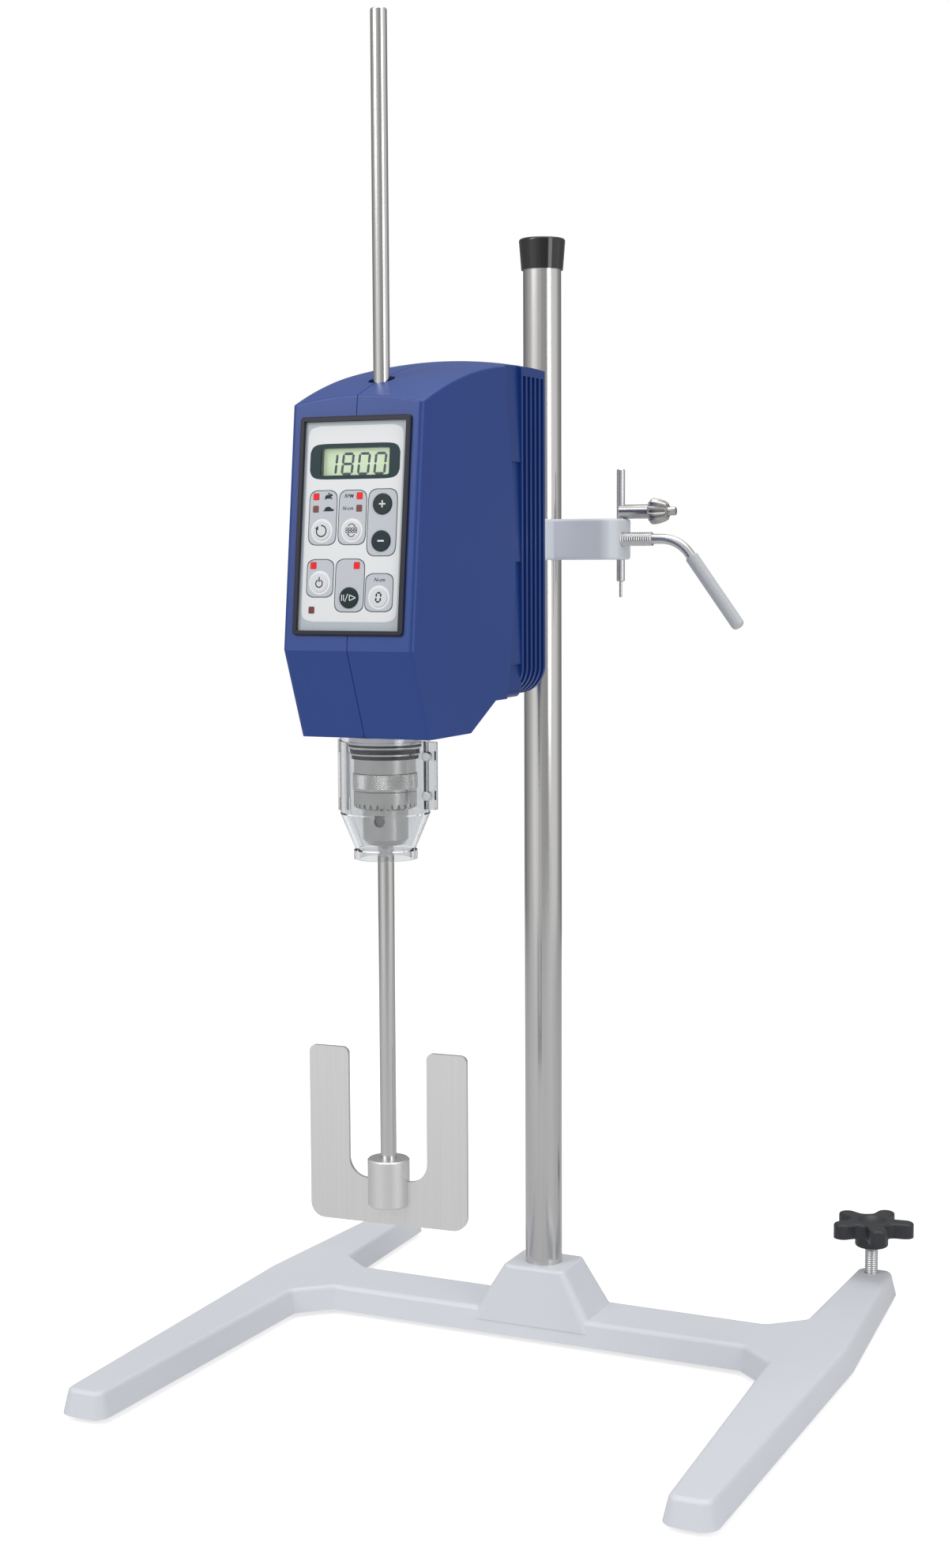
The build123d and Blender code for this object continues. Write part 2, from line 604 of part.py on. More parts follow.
inlet_plane = Plane(origin=(0, cover_rear, inlet_z), x_dir=(-1, 0, 0), z_dir=(0, 1, 0))
with BuildPart() as power_inlet:
    with BuildSketch(inlet_plane):
        RectangleRounded(31, 24, 3)
    extrude(amount=2)
    with BuildSketch(inlet_plane):
        Rectangle(27, 19.8)
    extrude(amount=-15)
    with BuildSketch(inlet_plane.offset(2)) as socket:
        Rectangle(23, 15.5)
        chamfer(socket.vertices().group_by(Axis.Z)[-1], length=4)
    extrude(amount=-14, mode=Mode.SUBTRACT)
    with BuildSketch(inlet_plane.offset(-12)):
        with Locations((-7, 0), (0, 3.5), (7, 0)):
            Rectangle(2, 4)
    extrude(amount=10)
power_inlet.part.label = "power_inlet"
export_step(power_inlet.part, "parts/power_inlet.step")

# ---------------------------------------------------------------- front panel
with BuildPart() as panel_bezel:
    with BuildSketch(panel_plane(-wall)):
        RectangleRounded(bezel_width, bezel_height, 2)
        Rectangle(bezel_width - 2 * bezel_rim, bezel_height - 2 * bezel_rim, mode=Mode.SUBTRACT)
    extrude(amount=wall + 1)
    front_rim = panel_bezel.faces().filter_by(lambda f: f.center().Y < panel_centre_y - 0.9)
    chamfer(front_rim.sort_by(Axis.Y)[0].edges(), length=0.7)
panel_bezel.part.label = "panel_bezel"
export_step(panel_bezel.part, "parts/panel_bezel.step")

key_places = {
    "direction_key": (key_columns[0], -2.6, small_key),
    "display_key": (key_columns[1], -2.5, small_key),
    "plus_key": (key_columns[2], 12.1, large_key),
    "minus_key": (key_columns[2], -8.6, large_key),
    "power_key": (key_columns[0], -32.0, small_key),
    "run_key": (key_columns[1], -40.5, large_key),
    "zero_key": (key_columns[2], -40.2, small_key),
}
led_places = [(-23.5, 16.7), (-23.5, 9.7), (4.1, 16.9), (4.1, 9.9), (-23.5, -22.3), (4.1, -22.3), (-23.7, -47.5)]
overlay_width = bezel_width - 2 * bezel_rim - 0.2
overlay_height = bezel_height - 2 * bezel_rim - 0.2
with BuildPart() as panel_overlay:
    with BuildSketch(panel_plane(overlay_depth - overlay_thickness)):
        Rectangle(overlay_width, overlay_height)
        with Locations((0, window_v)):
            Rectangle(window_width, window_height, mode=Mode.SUBTRACT)
        for u, v, radius in key_places.values():
            with Locations((u, v)):
                Circle(radius + 0.2, mode=Mode.SUBTRACT)
        with Locations(*led_places):
            RectangleRounded(led_width, led_height, led_corner, mode=Mode.SUBTRACT)
    extrude(amount=overlay_thickness)
panel_overlay.part.label = "panel_overlay"
export_step(panel_overlay.part, "parts/panel_overlay.step")

with BuildPart() as display_lens:
    with BuildSketch(panel_plane(overlay_depth - overlay_thickness)):
        with Locations((0, window_v)):
            Rectangle(window_width, window_height)
    extrude(amount=overlay_thickness - 0.2)
display_lens.part.label = "display_lens"
export_step(display_lens.part, "parts/display_lens.step")

board_front = -8.0
board_thickness = 1.6
with BuildPart() as lcd_module:
    with BuildSketch(panel_plane(board_front)):
        with Locations((0, window_v)):
            Rectangle(window_width + 6, window_height + 4)
    extrude(amount=overlay_depth - lcd_recess - board_front)
lcd_module.part.label = "lcd_module"
export_step(lcd_module.part, "parts/lcd_module.step")

with BuildPart() as indicator_leds:
    with BuildSketch(panel_plane(board_front)):
        with Locations(*led_places):
            RectangleRounded(led_width, led_height, led_corner)
    extrude(amount=overlay_depth - board_front - 0.1)
indicator_leds.part.label = "indicator_leds"
export_step(indicator_leds.part, "parts/indicator_leds.step")

with BuildPart() as key_switches:
    with BuildSketch(panel_plane(board_front)):
        for u, v, radius in key_places.values():
            with Locations((u, v)):
                Rectangle(6, 6)
    extrude(amount=3)
key_switches.part.label = "key_switches"
export_step(key_switches.part, "parts/key_switches.step")

with BuildPart() as control_board:
    with BuildSketch(panel_plane(board_front - board_thickness)):
        Rectangle(60, 112)
        with Locations((-27, -52), (27, -52), (-27, 52), (27, 52)):
            Circle(1.6, mode=Mode.SUBTRACT)
    extrude(amount=board_thickness)
control_board.part.label = "control_board"
export_step(control_board.part, "parts/control_board.step")


def push_key(name, u, v, radius):
    """One round keypad button with a soft edge, standing just proud of the overlay."""
    with BuildPart() as key:
        with BuildSketch(panel_plane(board_front + 3.6)):
            with Locations((u, v)):
                Circle(radius)
        extrude(amount=-board_front - 3.6 + overlay_depth + 0.7)
        fillet(key.edges().group_by(Axis.Y)[0], radius=0.4)
    key.part.label = name
    export_step(key.part, f"parts/{name}.step")


for key_name, (key_u, key_v, key_radius) in key_places.items():
    push_key(key_name, key_u, key_v, key_radius)

# ---------------------------------------------------------------- drive train
with BuildPart() as chassis:
    with Locations((0, shaft_y, guard_top)):
        Cylinder(quill_radius, deck_bottom - guard_top + 0.5,
                 align=(Align.CENTER, Align.CENTER, Align.MIN))
    with BuildSketch(Plane.XY.offset(deck_bottom)):
        with Locations((0, rod_y - 178)):
            RectangleRounded(60, 160, 6)
    extrude(amount=deck_top - deck_bottom)
    with Locations((0, rod_y - 101, 0.5 * (490 + deck_top))):
        Box(60, 6, deck_top - 490)
    with Locations((0, shaft_y, 0)):
        with Locations((0, 0, lower_bearing_z)):
            Cylinder(bearing_radius, bearing_height, align=(Align.CENTER, Align.CENTER, Align.MIN),
                     mode=Mode.SUBTRACT)
        with Locations((0, 0, upper_bearing_z)):
            Cylinder(bearing_radius, bearing_height, align=(Align.CENTER, Align.CENTER, Align.MIN),
                     mode=Mode.SUBTRACT)
        with Locations((0, 0, lower_bearing_z + bearing_height)):
            Cylinder(quill_bore, upper_bearing_z - lower_bearing_z - bearing_height,
                     align=(Align.CENTER, Align.CENTER, Align.MIN), mode=Mode.SUBTRACT)
        with Locations((0, 0, 500)):
            Cylinder(spindle_radius + 1, 200, mode=Mode.SUBTRACT)
    with Locations((0, motor_y, deck_bottom)):
        Cylinder(motor_shaft_radius + 2, 30, mode=Mode.SUBTRACT)
        with PolarLocations(22, 4, start_angle=45):
            Cylinder(2, 30, mode=Mode.SUBTRACT)
    with Locations((0, rod_y - 101, clamp_axis_z)):
        Cylinder(4, 10, rotation=(90, 0, 0), mode=Mode.SUBTRACT)
chassis.part.label = "chassis"
export_step(chassis.part, "parts/chassis.step")

with BuildPart() as mounting_stem:
    with Locations((0, rod_y + 0.5 * (stem_end - 98), clamp_axis_z)):
        Cylinder(stem_radius, stem_end + 98, rotation=(90, 0, 0))
    chamfer(mounting_stem.edges().group_by(Axis.Y)[-1], length=1)
    with Locations((0, rod_y - 101, clamp_axis_z)):
        Cylinder(4, 6, rotation=(90, 0, 0))
mounting_stem.part.label = "mounting_stem"
export_step(mounting_stem.part, "parts/mounting_stem.step")


def ball_bearing(name, bottom):
    """Shielded ball bearing between the quill and the hollow spindle."""
    inner_ring, outer_ring, shield_step = 11.0, 15.0, 0.8
    points = [
        (spindle_radius + fit_gap, bottom),
        (inner_ring, bottom),
        (inner_ring, bottom + shield_step),
        (outer_ring, bottom + shield_step),
        (outer_ring, bottom),
        (bearing_radius, bottom),
        (bearing_radius, bottom + bearing_height),
        (outer_ring, bottom + bearing_height),
        (outer_ring, bottom + bearing_height - shield_step),
        (inner_ring, bottom + bearing_height - shield_step),
        (inner_ring, bottom + bearing_height),
        (spindle_radius + fit_gap, bottom + bearing_height),
    ]
    with BuildPart() as bearing:
        revolve(half_section(shaft_y, points), axis=shaft_axis)
    bearing.part.label = name
    export_step(bearing.part, f"parts/{name}.step")


ball_bearing("lower_bearing", lower_bearing_z)
ball_bearing("upper_bearing", upper_bearing_z)

with BuildPart() as motor:
    with Locations((0, motor_y, motor_bottom)):
        Cylinder(motor_radius, deck_bottom - motor_bottom, align=(Align.CENTER, Align.CENTER, Align.MIN))
    fillet(motor.edges().group_by(Axis.Z)[0], radius=4)
    with Locations((0, motor_y, deck_bottom)):
        Cylinder(motor_shaft_radius + 0.1, 80, mode=Mode.SUBTRACT)
        with PolarLocations(22, 4, start_angle=45):
            Cylinder(2, 16, mode=Mode.SUBTRACT)
motor.part.label = "motor"
export_step(motor.part, "parts/motor.step")

with BuildPart() as motor_screws:
    with Locations((0, motor_y, deck_bottom - 8)):
        with PolarLocations(22, 4, start_angle=45):
            Cylinder(2, deck_top - deck_bottom + 8, align=(Align.CENTER, Align.CENTER, Align.MIN))
    with Locations((0, motor_y, deck_top)):
        with PolarLocations(22, 4, start_angle=45):
            Cylinder(3.5, 2.5, align=(Align.CENTER, Align.CENTER, Align.MIN))
motor_screws.part.label = "motor_screws"
export_step(motor_screws.part, "parts/motor_screws.step")


def pulley_points(bore, radius):
    """Half section of a flanged belt pulley."""
    top = pulley_bottom + pulley_height
    return [
        (bore, pulley_bottom),
        (radius + flange_step, pulley_bottom),
        (radius + flange_step, pulley_bottom + flange_rim),
        (radius, pulley_bottom + flange_rim),
        (radius, top - flange_rim),
        (radius + flange_step, top - flange_rim),
        (radius + flange_step, top),
        (bore, top),
    ]


with BuildPart() as spindle_pulley:
    revolve(half_section(shaft_y, pulley_points(spindle_radius, spindle_pulley_radius)), axis=shaft_axis)
spindle_pulley.part.label = "spindle_pulley"
export_step(spindle_pulley.part, "parts/spindle_pulley.step")

with BuildPart() as motor_pulley:
    revolve(half_section(motor_y, pulley_points(motor_shaft_radius, motor_pulley_radius)), axis=motor_axis)
motor_pulley.part.label = "motor_pulley"
export_step(motor_pulley.part, "parts/motor_pulley.step")

with BuildPart() as motor_shaft:
    with Locations((0, motor_y, deck_bottom - 38)):
        Cylinder(motor_shaft_radius, 64, align=(Align.CENTER, Align.CENTER, Align.MIN))
    chamfer(motor_shaft.edges().group_by(Axis.Z)[-1], length=0.6)
motor_shaft.part.label = "motor_shaft"
export_step(motor_shaft.part, "parts/motor_shaft.step")


def belt_loop(grow):
    """Open belt loop round both pulleys, this far outside their rims."""
    large = spindle_pulley_radius + grow
    small = motor_pulley_radius + grow
    with BuildSketch(Plane.XY.offset(pulley_bottom + flange_rim + 0.5)) as loop:
        with Locations((0, shaft_y)):
            Circle(large)
        with Locations((0, motor_y)):
            Circle(small)
        make_hull()
    return loop.sketch


with BuildPart() as drive_belt:
    belt_width = pulley_height - 2 * flange_rim - 1
    extrude(belt_loop(belt_gap + belt_thickness), amount=belt_width)
    extrude(belt_loop(belt_gap), amount=belt_width, mode=Mode.SUBTRACT)
drive_belt.part.label = "drive_belt"
export_step(drive_belt.part, "parts/drive_belt.step")

spindle_points = [
    (spindle_bore, chuck_top),
    (19.5, chuck_top),
    (19.5, 423.4),
    (20.5, 423.4),
    (20.5, 424.3),
    (spindle_radius, 424.3),
    (spindle_radius, spindle_top),
    (spindle_bore, spindle_top),
]
with BuildPart() as spindle:
    revolve(half_section(shaft_y, spindle_points), axis=shaft_axis)
spindle.part.label = "spindle"
export_step(spindle.part, "parts/spindle.step")

with BuildPart() as spindle_collar:
    with Locations((0, shaft_y, collar_bottom)):
        Cylinder(collar_radius, guard_top - collar_bottom, align=(Align.CENTER, Align.CENTER, Align.MIN))
    chamfer(spindle_collar.edges().group_by(Axis.Z)[0], length=0.8)
    with Locations((0, shaft_y, collar_bottom)):
        Cylinder(spindle_radius + 0.5, 40, mode=Mode.SUBTRACT)
spindle_collar.part.label = "spindle_collar"
export_step(spindle_collar.part, "parts/spindle_collar.step")

seal_points = [
    (spindle_radius + fit_gap, 424.6),
    (20.2, 424.6),
    (20.2, collar_bottom),
    (spindle_radius + fit_gap, collar_bottom),
]
with BuildPart() as spindle_seal:
    revolve(half_section(shaft_y, seal_points), axis=shaft_axis)
spindle_seal.part.label = "spindle_seal"
export_step(spindle_seal.part, "parts/spindle_seal.step")

# ---------------------------------------------------------------- keyed chuck
jaw_turns = [41 - 60 + 120 * jaw for jaw in range(3)]
key_hole_turns = [41 + 120 * hole for hole in range(3)]
jaw_root_radius = shaft_radius + fit_gap + jaw_radius - 0.4


def jaw_plane(turn):
    """Plane across one jaw's sloping axis, at the nose of the chuck."""
    outward = Vector(cos(radians(turn)), sin(radians(turn)), 0)
    slope = outward * sin(radians(jaw_lean)) + Vector(0, 0, cos(radians(jaw_lean)))
    start = Vector(0, shaft_y, jaw_bottom - 4) + outward * (jaw_root_radius - 4 * tan(radians(jaw_lean)))
    return Plane(origin=start, z_dir=slope)


chuck_points = [
    (spindle_bore + 0.1, nose_end),
    (nose_chamfer_radius, nose_end),
    (nose_radius, nose_chamfer_z),
    (nose_radius, chuck_shoulder),
    (chuck_radius, chuck_shoulder),
    (chuck_radius, chuck_top),
    (spindle_bore + 0.1, chuck_top),
]
with BuildPart() as chuck_body:
    revolve(half_section(shaft_y, chuck_points), axis=shaft_axis)
    for turn in jaw_turns:
        with BuildSketch(jaw_plane(turn)):
            Circle(jaw_radius + fit_gap)
        extrude(amount=jaw_top - jaw_bottom + 8, mode=Mode.SUBTRACT)
    with Locations((0, shaft_y, key_hole_z)):
        with PolarLocations(nose_radius, 3, start_angle=key_hole_turns[0]):
            Cylinder(key_hole_radius, 11, rotation=(0, 90, 0), mode=Mode.SUBTRACT)
chuck_body.part.label = "chuck_body"
export_step(chuck_body.part, "parts/chuck_body.step")


def chuck_jaw(name, turn):
    """One sloping jaw, hollowed to the shaft in front and cut to the nut behind."""
    with BuildPart() as jaw:
        with BuildSketch(jaw_plane(turn)):
            Circle(jaw_radius)
        extrude(amount=jaw_top - jaw_bottom + 8)
        with Locations((0, shaft_y, jaw_bottom)):
            Cylinder(jaw_back_radius, jaw_top - jaw_bottom, align=(Align.CENTER, Align.CENTER, Align.MIN),
                     mode=Mode.INTERSECT)
            Cylinder(shaft_radius + fit_gap, 80, mode=Mode.SUBTRACT)
    jaw.part.label = name
    export_step(jaw.part, f"parts/{name}.step")


for jaw_number, jaw_turn in enumerate(jaw_turns, start=1):
    chuck_jaw(f"chuck_jaw_{jaw_number}", jaw_turn)

# one V-shaped gap of the ring gear, cut through the sleeve's lower rim
with BuildPart() as tooth_gap:
    with BuildSketch(Plane(origin=(nose_radius - 1, 0, sleeve_bottom), x_dir=(0, 1, 0), z_dir=(1, 0, 0))):
        with BuildLine():
            Polyline((-gap_foot, -0.5), (gap_foot, -0.5), (gap_root, tooth_depth), (-gap_root, tooth_depth),
                     close=True)
        make_face()
    extrude(amount=8)

sleeve_points = [
    (nose_radius + 0.08, sleeve_bottom),
    (sleeve_radius - 2.6, sleeve_bottom),
    (sleeve_radius, sleeve_bottom + 1.4),
    (sleeve_radius, sleeve_bottom + 10.4),
    (sleeve_radius - 0.5, sleeve_bottom + 10.9),
    (sleeve_radius, sleeve_bottom + 11.4),
    (sleeve_radius, sleeve_top),
    (nose_radius + 2.3, sleeve_top),
    (nose_radius + 2.3, sleeve_bottom + 5),
    (nose_radius + 0.08, sleeve_bottom + 5),
]
with BuildPart() as chuck_sleeve:
    revolve(half_section(shaft_y, sleeve_points), axis=shaft_axis)
    with Locations((0, shaft_y, 0)):
        with PolarLocations(0, sleeve_teeth):
            add(tooth_gap.part, mode=Mode.SUBTRACT)
chuck_sleeve.part.label = "chuck_sleeve"
export_step(chuck_sleeve.part, "parts/chuck_sleeve.step")

nut_points = [
    (nose_radius + 0.08, sleeve_bottom + 5),
    (nose_radius + 2.3, sleeve_bottom + 5),
    (nose_radius + 2.3, sleeve_bottom + 15),
    (nose_radius + 0.08, sleeve_bottom + 15),
]
with BuildPart() as chuck_nut:
    revolve(half_section(shaft_y, nut_points), axis=shaft_axis)
chuck_nut.part.label = "chuck_nut"
export_step(chuck_nut.part, "parts/chuck_nut.step")

# ---------------------------------------------------------------- splash guard
inner_radius = guard_radius - guard_wall
wall_points = [
    (guard_radius, guard_shoulder),
    (guard_cone_radius, guard_cone_end),
    (guard_lip_radius, guard_cone_end - 0.8),
    (guard_lip_radius, guard_bottom),
    (guard_mouth, guard_bottom),
    (guard_mouth, guard_cone_end),
    (inner_radius, guard_shoulder + 0.7),
]
ring_underside = guard_top - 2.8
door_top = ring_underside - wide_gap
rear_points = wall_points + [
    (inner_radius, ring_underside),
    (collar_radius + 0.15, ring_underside),
    (collar_radius + 0.15, guard_top),
    (guard_radius, guard_top),
]
door_points = wall_points + [(inner_radius, door_top), (guard_radius, door_top)]
half_gap = 0.15
knuckle_length = 7.0
hinge_foot, hinge_head = guard_shoulder + 0.6, door_top

with BuildPart() as guard_rear:
    revolve(half_section(shaft_y, rear_points), axis=shaft_axis)
    with Locations((0, shaft_y + half_gap, 0)):
        Box(80, 40, 2 * ring_underside, align=(Align.CENTER, Align.MAX, Align.CENTER), mode=Mode.SUBTRACT)
    with Locations((inner_radius + 0.5, shaft_y + half_gap, flange_foot)):
        Box(flange_reach - inner_radius - 0.5, flange_thickness, door_top - flange_foot,
            align=(Align.MIN, Align.MIN, Align.MIN))
    for knuckle_foot in (hinge_foot, hinge_head - knuckle_length):
        with Locations((hinge_x, shaft_y, knuckle_foot)):
            Cylinder(hinge_radius, knuckle_length, align=(Align.CENTER, Align.CENTER, Align.MIN))
        with Locations((hinge_x, shaft_y + half_gap, knuckle_foot)):
            Box(4, 1.9, knuckle_length, align=(Align.MIN, Align.MIN, Align.MIN))
    with Locations((hinge_x, shaft_y, guard_shoulder)):
        Cylinder(hinge_pin_radius, 120, mode=Mode.SUBTRACT)
guard_rear.part.label = "guard_rear"
export_step(guard_rear.part, "parts/guard_rear.step")

middle_foot = hinge_foot + knuckle_length + wide_gap
middle_length = hinge_head - knuckle_length - wide_gap - middle_foot
with BuildPart() as guard_door:
    revolve(half_section(shaft_y, door_points), axis=shaft_axis)
    with Locations((0, shaft_y - half_gap, 0)):
        Box(80, 40, 2 * guard_top, align=(Align.CENTER, Align.MIN, Align.CENTER), mode=Mode.SUBTRACT)
    with Locations((inner_radius + 0.5, shaft_y - half_gap, flange_foot)):
        Box(flange_reach - inner_radius - 0.5, flange_thickness, door_top - flange_foot,
            align=(Align.MIN, Align.MAX, Align.MIN))
    with Locations((hinge_x, shaft_y, middle_foot)):
        Cylinder(hinge_radius, middle_length, align=(Align.CENTER, Align.CENTER, Align.MIN))
    with Locations((hinge_x, shaft_y - half_gap, middle_foot)):
        Box(4, 1.9, middle_length, align=(Align.MIN, Align.MAX, Align.MIN))
    with Locations((hinge_x, shaft_y, guard_shoulder)):
        Cylinder(hinge_pin_radius + fit_gap, 120, mode=Mode.SUBTRACT)
guard_door.part.label = "guard_door"
export_step(guard_door.part, "parts/guard_door.step")

with BuildPart() as guard_hinge_pin:
    with Locations((hinge_x, shaft_y, hinge_foot)):
        Cylinder(hinge_pin_radius, hinge_head - hinge_foot, align=(Align.CENTER, Align.CENTER, Align.MIN))
guard_hinge_pin.part.label = "guard_hinge_pin"
export_step(guard_hinge_pin.part, "parts/guard_hinge_pin.step")

with BuildPart() as guard_studs:
    with BuildSketch(section_plane(shaft_y - half_gap - flange_thickness)):
        with Locations((28.8, 423), (28.8, 400)):
            Circle(2.8)
    extrude(amount=3)
    fillet(guard_studs.edges().group_by(Axis.Y)[0], radius=0.6)
guard_studs.part.label = "guard_studs"
export_step(guard_studs.part, "parts/guard_studs.step")

# ---------------------------------------------------------------- stirring shaft and paddle
with BuildPart() as stirring_shaft:
    with Locations((0, shaft_y, shaft_bottom)):
        Cylinder(shaft_radius, shaft_top - shaft_bottom, align=(Align.CENTER, Align.CENTER, Align.MIN))
    chamfer(stirring_shaft.edges().group_by(Axis.Z)[-1], length=0.6)
stirring_shaft.part.label = "stirring_shaft"
export_step(stirring_shaft.part, "parts/stirring_shaft.step")

blade_angle = radians(blade_turn)
blade_plane = Plane(origin=(0, shaft_y, 0), x_dir=(cos(blade_angle), sin(blade_angle), 0),
                    z_dir=(sin(blade_angle), -cos(blade_angle), 0))
with BuildPart() as paddle_blade:
    with BuildSketch(blade_plane) as blade_outline:
        with BuildLine():
            Polyline(
                (-blade_half, blade_top),
                (-blade_half, blade_bottom),
                (blade_half, blade_bottom),
                (blade_half, blade_top),
                (blade_inner_half, blade_top),
                (blade_inner_half, blade_inner_bottom),
                (-blade_inner_half, blade_inner_bottom),
                (-blade_inner_half, blade_top),
                close=True,
            )
        make_face()
        fillet(blade_outline.vertices().group_by(Axis.Y)[0], radius=9)
        fillet(blade_outline.vertices().filter_by(lambda v: abs(v.Y - blade_inner_bottom) < 1), radius=12)
        fillet(blade_outline.vertices().group_by(Axis.Y)[-1], radius=4)
    extrude(amount=0.5 * blade_thickness, both=True)
paddle_blade.part.label = "paddle_blade"
export_step(paddle_blade.part, "parts/paddle_blade.step")

with BuildPart() as paddle_hub:
    with Locations((0, shaft_y, hub_bottom)):
        Cylinder(hub_radius, hub_top - hub_bottom, align=(Align.CENTER, Align.CENTER, Align.MIN))
    chamfer(paddle_hub.edges().filter_by(GeomType.CIRCLE), length=0.8)
    with Locations((0, shaft_y, shaft_bottom)):
        Cylinder(shaft_radius, 20, align=(Align.CENTER, Align.CENTER, Align.MIN), mode=Mode.SUBTRACT)
    with Locations((0, shaft_y, blade_inner_bottom)):
        Box(40, blade_thickness, 40, rotation=(0, 0, blade_turn),
            align=(Align.CENTER, Align.CENTER, Align.MAX), mode=Mode.SUBTRACT)
paddle_hub.part.label = "paddle_hub"
export_step(paddle_hub.part, "parts/paddle_hub.step")
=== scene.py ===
import bpy
import json
from math import atan2, cos, pi, radians, sin, tan
from mathutils import Matrix, Vector


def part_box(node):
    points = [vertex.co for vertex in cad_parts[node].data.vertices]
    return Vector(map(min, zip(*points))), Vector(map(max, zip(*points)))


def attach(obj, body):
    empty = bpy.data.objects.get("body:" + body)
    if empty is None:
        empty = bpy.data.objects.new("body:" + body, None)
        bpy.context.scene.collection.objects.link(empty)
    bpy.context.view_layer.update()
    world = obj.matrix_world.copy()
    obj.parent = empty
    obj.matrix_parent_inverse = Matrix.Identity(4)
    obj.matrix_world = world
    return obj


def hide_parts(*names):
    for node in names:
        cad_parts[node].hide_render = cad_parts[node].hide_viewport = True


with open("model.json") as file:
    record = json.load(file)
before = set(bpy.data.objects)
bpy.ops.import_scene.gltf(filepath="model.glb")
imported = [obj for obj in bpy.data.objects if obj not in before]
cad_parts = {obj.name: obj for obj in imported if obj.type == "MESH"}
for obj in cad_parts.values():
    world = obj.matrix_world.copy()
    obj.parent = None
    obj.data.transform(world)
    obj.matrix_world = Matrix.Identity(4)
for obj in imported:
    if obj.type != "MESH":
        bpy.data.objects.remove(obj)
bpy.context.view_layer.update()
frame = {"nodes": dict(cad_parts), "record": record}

MM = 0.001                    # sizes are written in millimetres and become metres with this
ROD_Y = 47.71 * MM            # support rod, behind the middle of the footprint
SHAFT_Y = ROD_Y - 236.7 * MM  # stirring axis
RECORD = frame["record"]
NODES = frame["nodes"]

# ---------------------------------------------------------------- camera
CAMERA_SPOT = Vector((594.04, -1358.7, 538.08)) * MM
CAMERA_AZIMUTH, CAMERA_PITCH, CAMERA_ROLL = radians(24.66), radians(5.78), radians(-0.28)
SENSOR_WIDTH, FOCAL_LENGTH = 36, 51.78


def add_camera():
    """Stands the camera at the product's front right, a little above the head's middle."""
    back = Vector((sin(CAMERA_AZIMUTH) * cos(CAMERA_PITCH), -cos(CAMERA_AZIMUTH) * cos(CAMERA_PITCH),
                   sin(CAMERA_PITCH)))
    level_right = Vector((cos(CAMERA_AZIMUTH), sin(CAMERA_AZIMUTH), 0))
    level_up = back.cross(level_right)
    right = level_right * cos(CAMERA_ROLL) + level_up * sin(CAMERA_ROLL)
    up = -level_right * sin(CAMERA_ROLL) + level_up * cos(CAMERA_ROLL)
    lens = bpy.data.cameras.new("front_right_camera")
    lens.sensor_width = SENSOR_WIDTH
    lens.lens = FOCAL_LENGTH
    lens.clip_end = 20
    camera = bpy.data.objects.new("front_right_camera", lens)
    bpy.context.collection.objects.link(camera)
    turn = Matrix((right, up, back)).transposed().to_4x4()
    camera.matrix_world = Matrix.Translation(CAMERA_SPOT) @ turn
    bpy.context.scene.camera = camera


add_camera()


# ---------------------------------------------------------------- node groups
def new_group(name, inputs, outputs):
    """An empty shader group with named sockets, and its input and output nodes."""
    group = bpy.data.node_groups.new(name, "ShaderNodeTree")
    for label, kind, value in inputs:
        socket = group.interface.new_socket(label, in_out="INPUT", socket_type=kind)
        if value is not None:
            socket.default_value = value
    for label, kind in outputs:
        group.interface.new_socket(label, in_out="OUTPUT", socket_type=kind)
    return group, group.nodes.new("NodeGroupInput"), group.nodes.new("NodeGroupOutput")


def math_node(tree, operation, first, second, clamp=False):
    """A Math node fed by two sockets or numbers."""
    node = tree.nodes.new("ShaderNodeMath")
    node.operation = operation
    node.use_clamp = clamp
    for slot, source in zip(node.inputs, (first, second)):
        if isinstance(source, (int, float)):
            slot.default_value = source
        else:
            tree.links.new(source, slot)
    return node.outputs[0]


# sockets of a Mix node that blends colours
MIX_FIRST_COLOR, MIX_SECOND_COLOR, MIX_RESULT_COLOR = 6, 7, 2


def drift_finish(group, given, result, noise):
    """Colour and roughness that drift with the noise, led to the group's outputs."""
    blend = group.nodes.new("ShaderNodeMix")
    blend.data_type = "RGBA"
    group.links.new(noise, blend.inputs["Factor"])
    group.links.new(given.outputs["Color"], blend.inputs[MIX_FIRST_COLOR])
    group.links.new(given.outputs["Drift Color"], blend.inputs[MIX_SECOND_COLOR])
    group.links.new(blend.outputs[MIX_RESULT_COLOR], result.inputs["Color"])
    centred = math_node(group, "SUBTRACT", noise, 0.5)
    spread = math_node(group, "MULTIPLY", centred, given.outputs["Roughness Spread"])
    rough = math_node(group, "ADD", given.outputs["Roughness"], spread, clamp=True)
    group.links.new(rough, result.inputs["Roughness"])


def make_grain_group():
    """Colour drift, roughness drift and a fine relief over the piece."""
    group, given, result = new_group(
        "moulded_grain",
        [("Color", "NodeSocketColor", (0.5, 0.5, 0.5, 1)), ("Drift Color", "NodeSocketColor", (0.4, 0.4, 0.4, 1)),
         ("Grain Scale", "NodeSocketFloat", 900.0), ("Drift Scale", "NodeSocketFloat", 12.0),
         ("Roughness", "NodeSocketFloat", 0.4), ("Roughness Spread", "NodeSocketFloat", 0.1)],
        [("Color", "NodeSocketColor"), ("Roughness", "NodeSocketFloat"), ("Height", "NodeSocketFloat")])
    place = group.nodes.new("ShaderNodeTexCoord")
    grain = group.nodes.new("ShaderNodeTexNoise")
    grain.inputs["Detail"].default_value = 3
    drift = group.nodes.new("ShaderNodeTexNoise")
    drift.inputs["Detail"].default_value = 4
    for texture, scale in ((grain, "Grain Scale"), (drift, "Drift Scale")):
        group.links.new(place.outputs["Object"], texture.inputs["Vector"])
        group.links.new(given.outputs[scale], texture.inputs["Scale"])
    drift_finish(group, given, result, drift.outputs["Fac"])
    group.links.new(grain.outputs["Fac"], result.inputs["Height"])
    return group


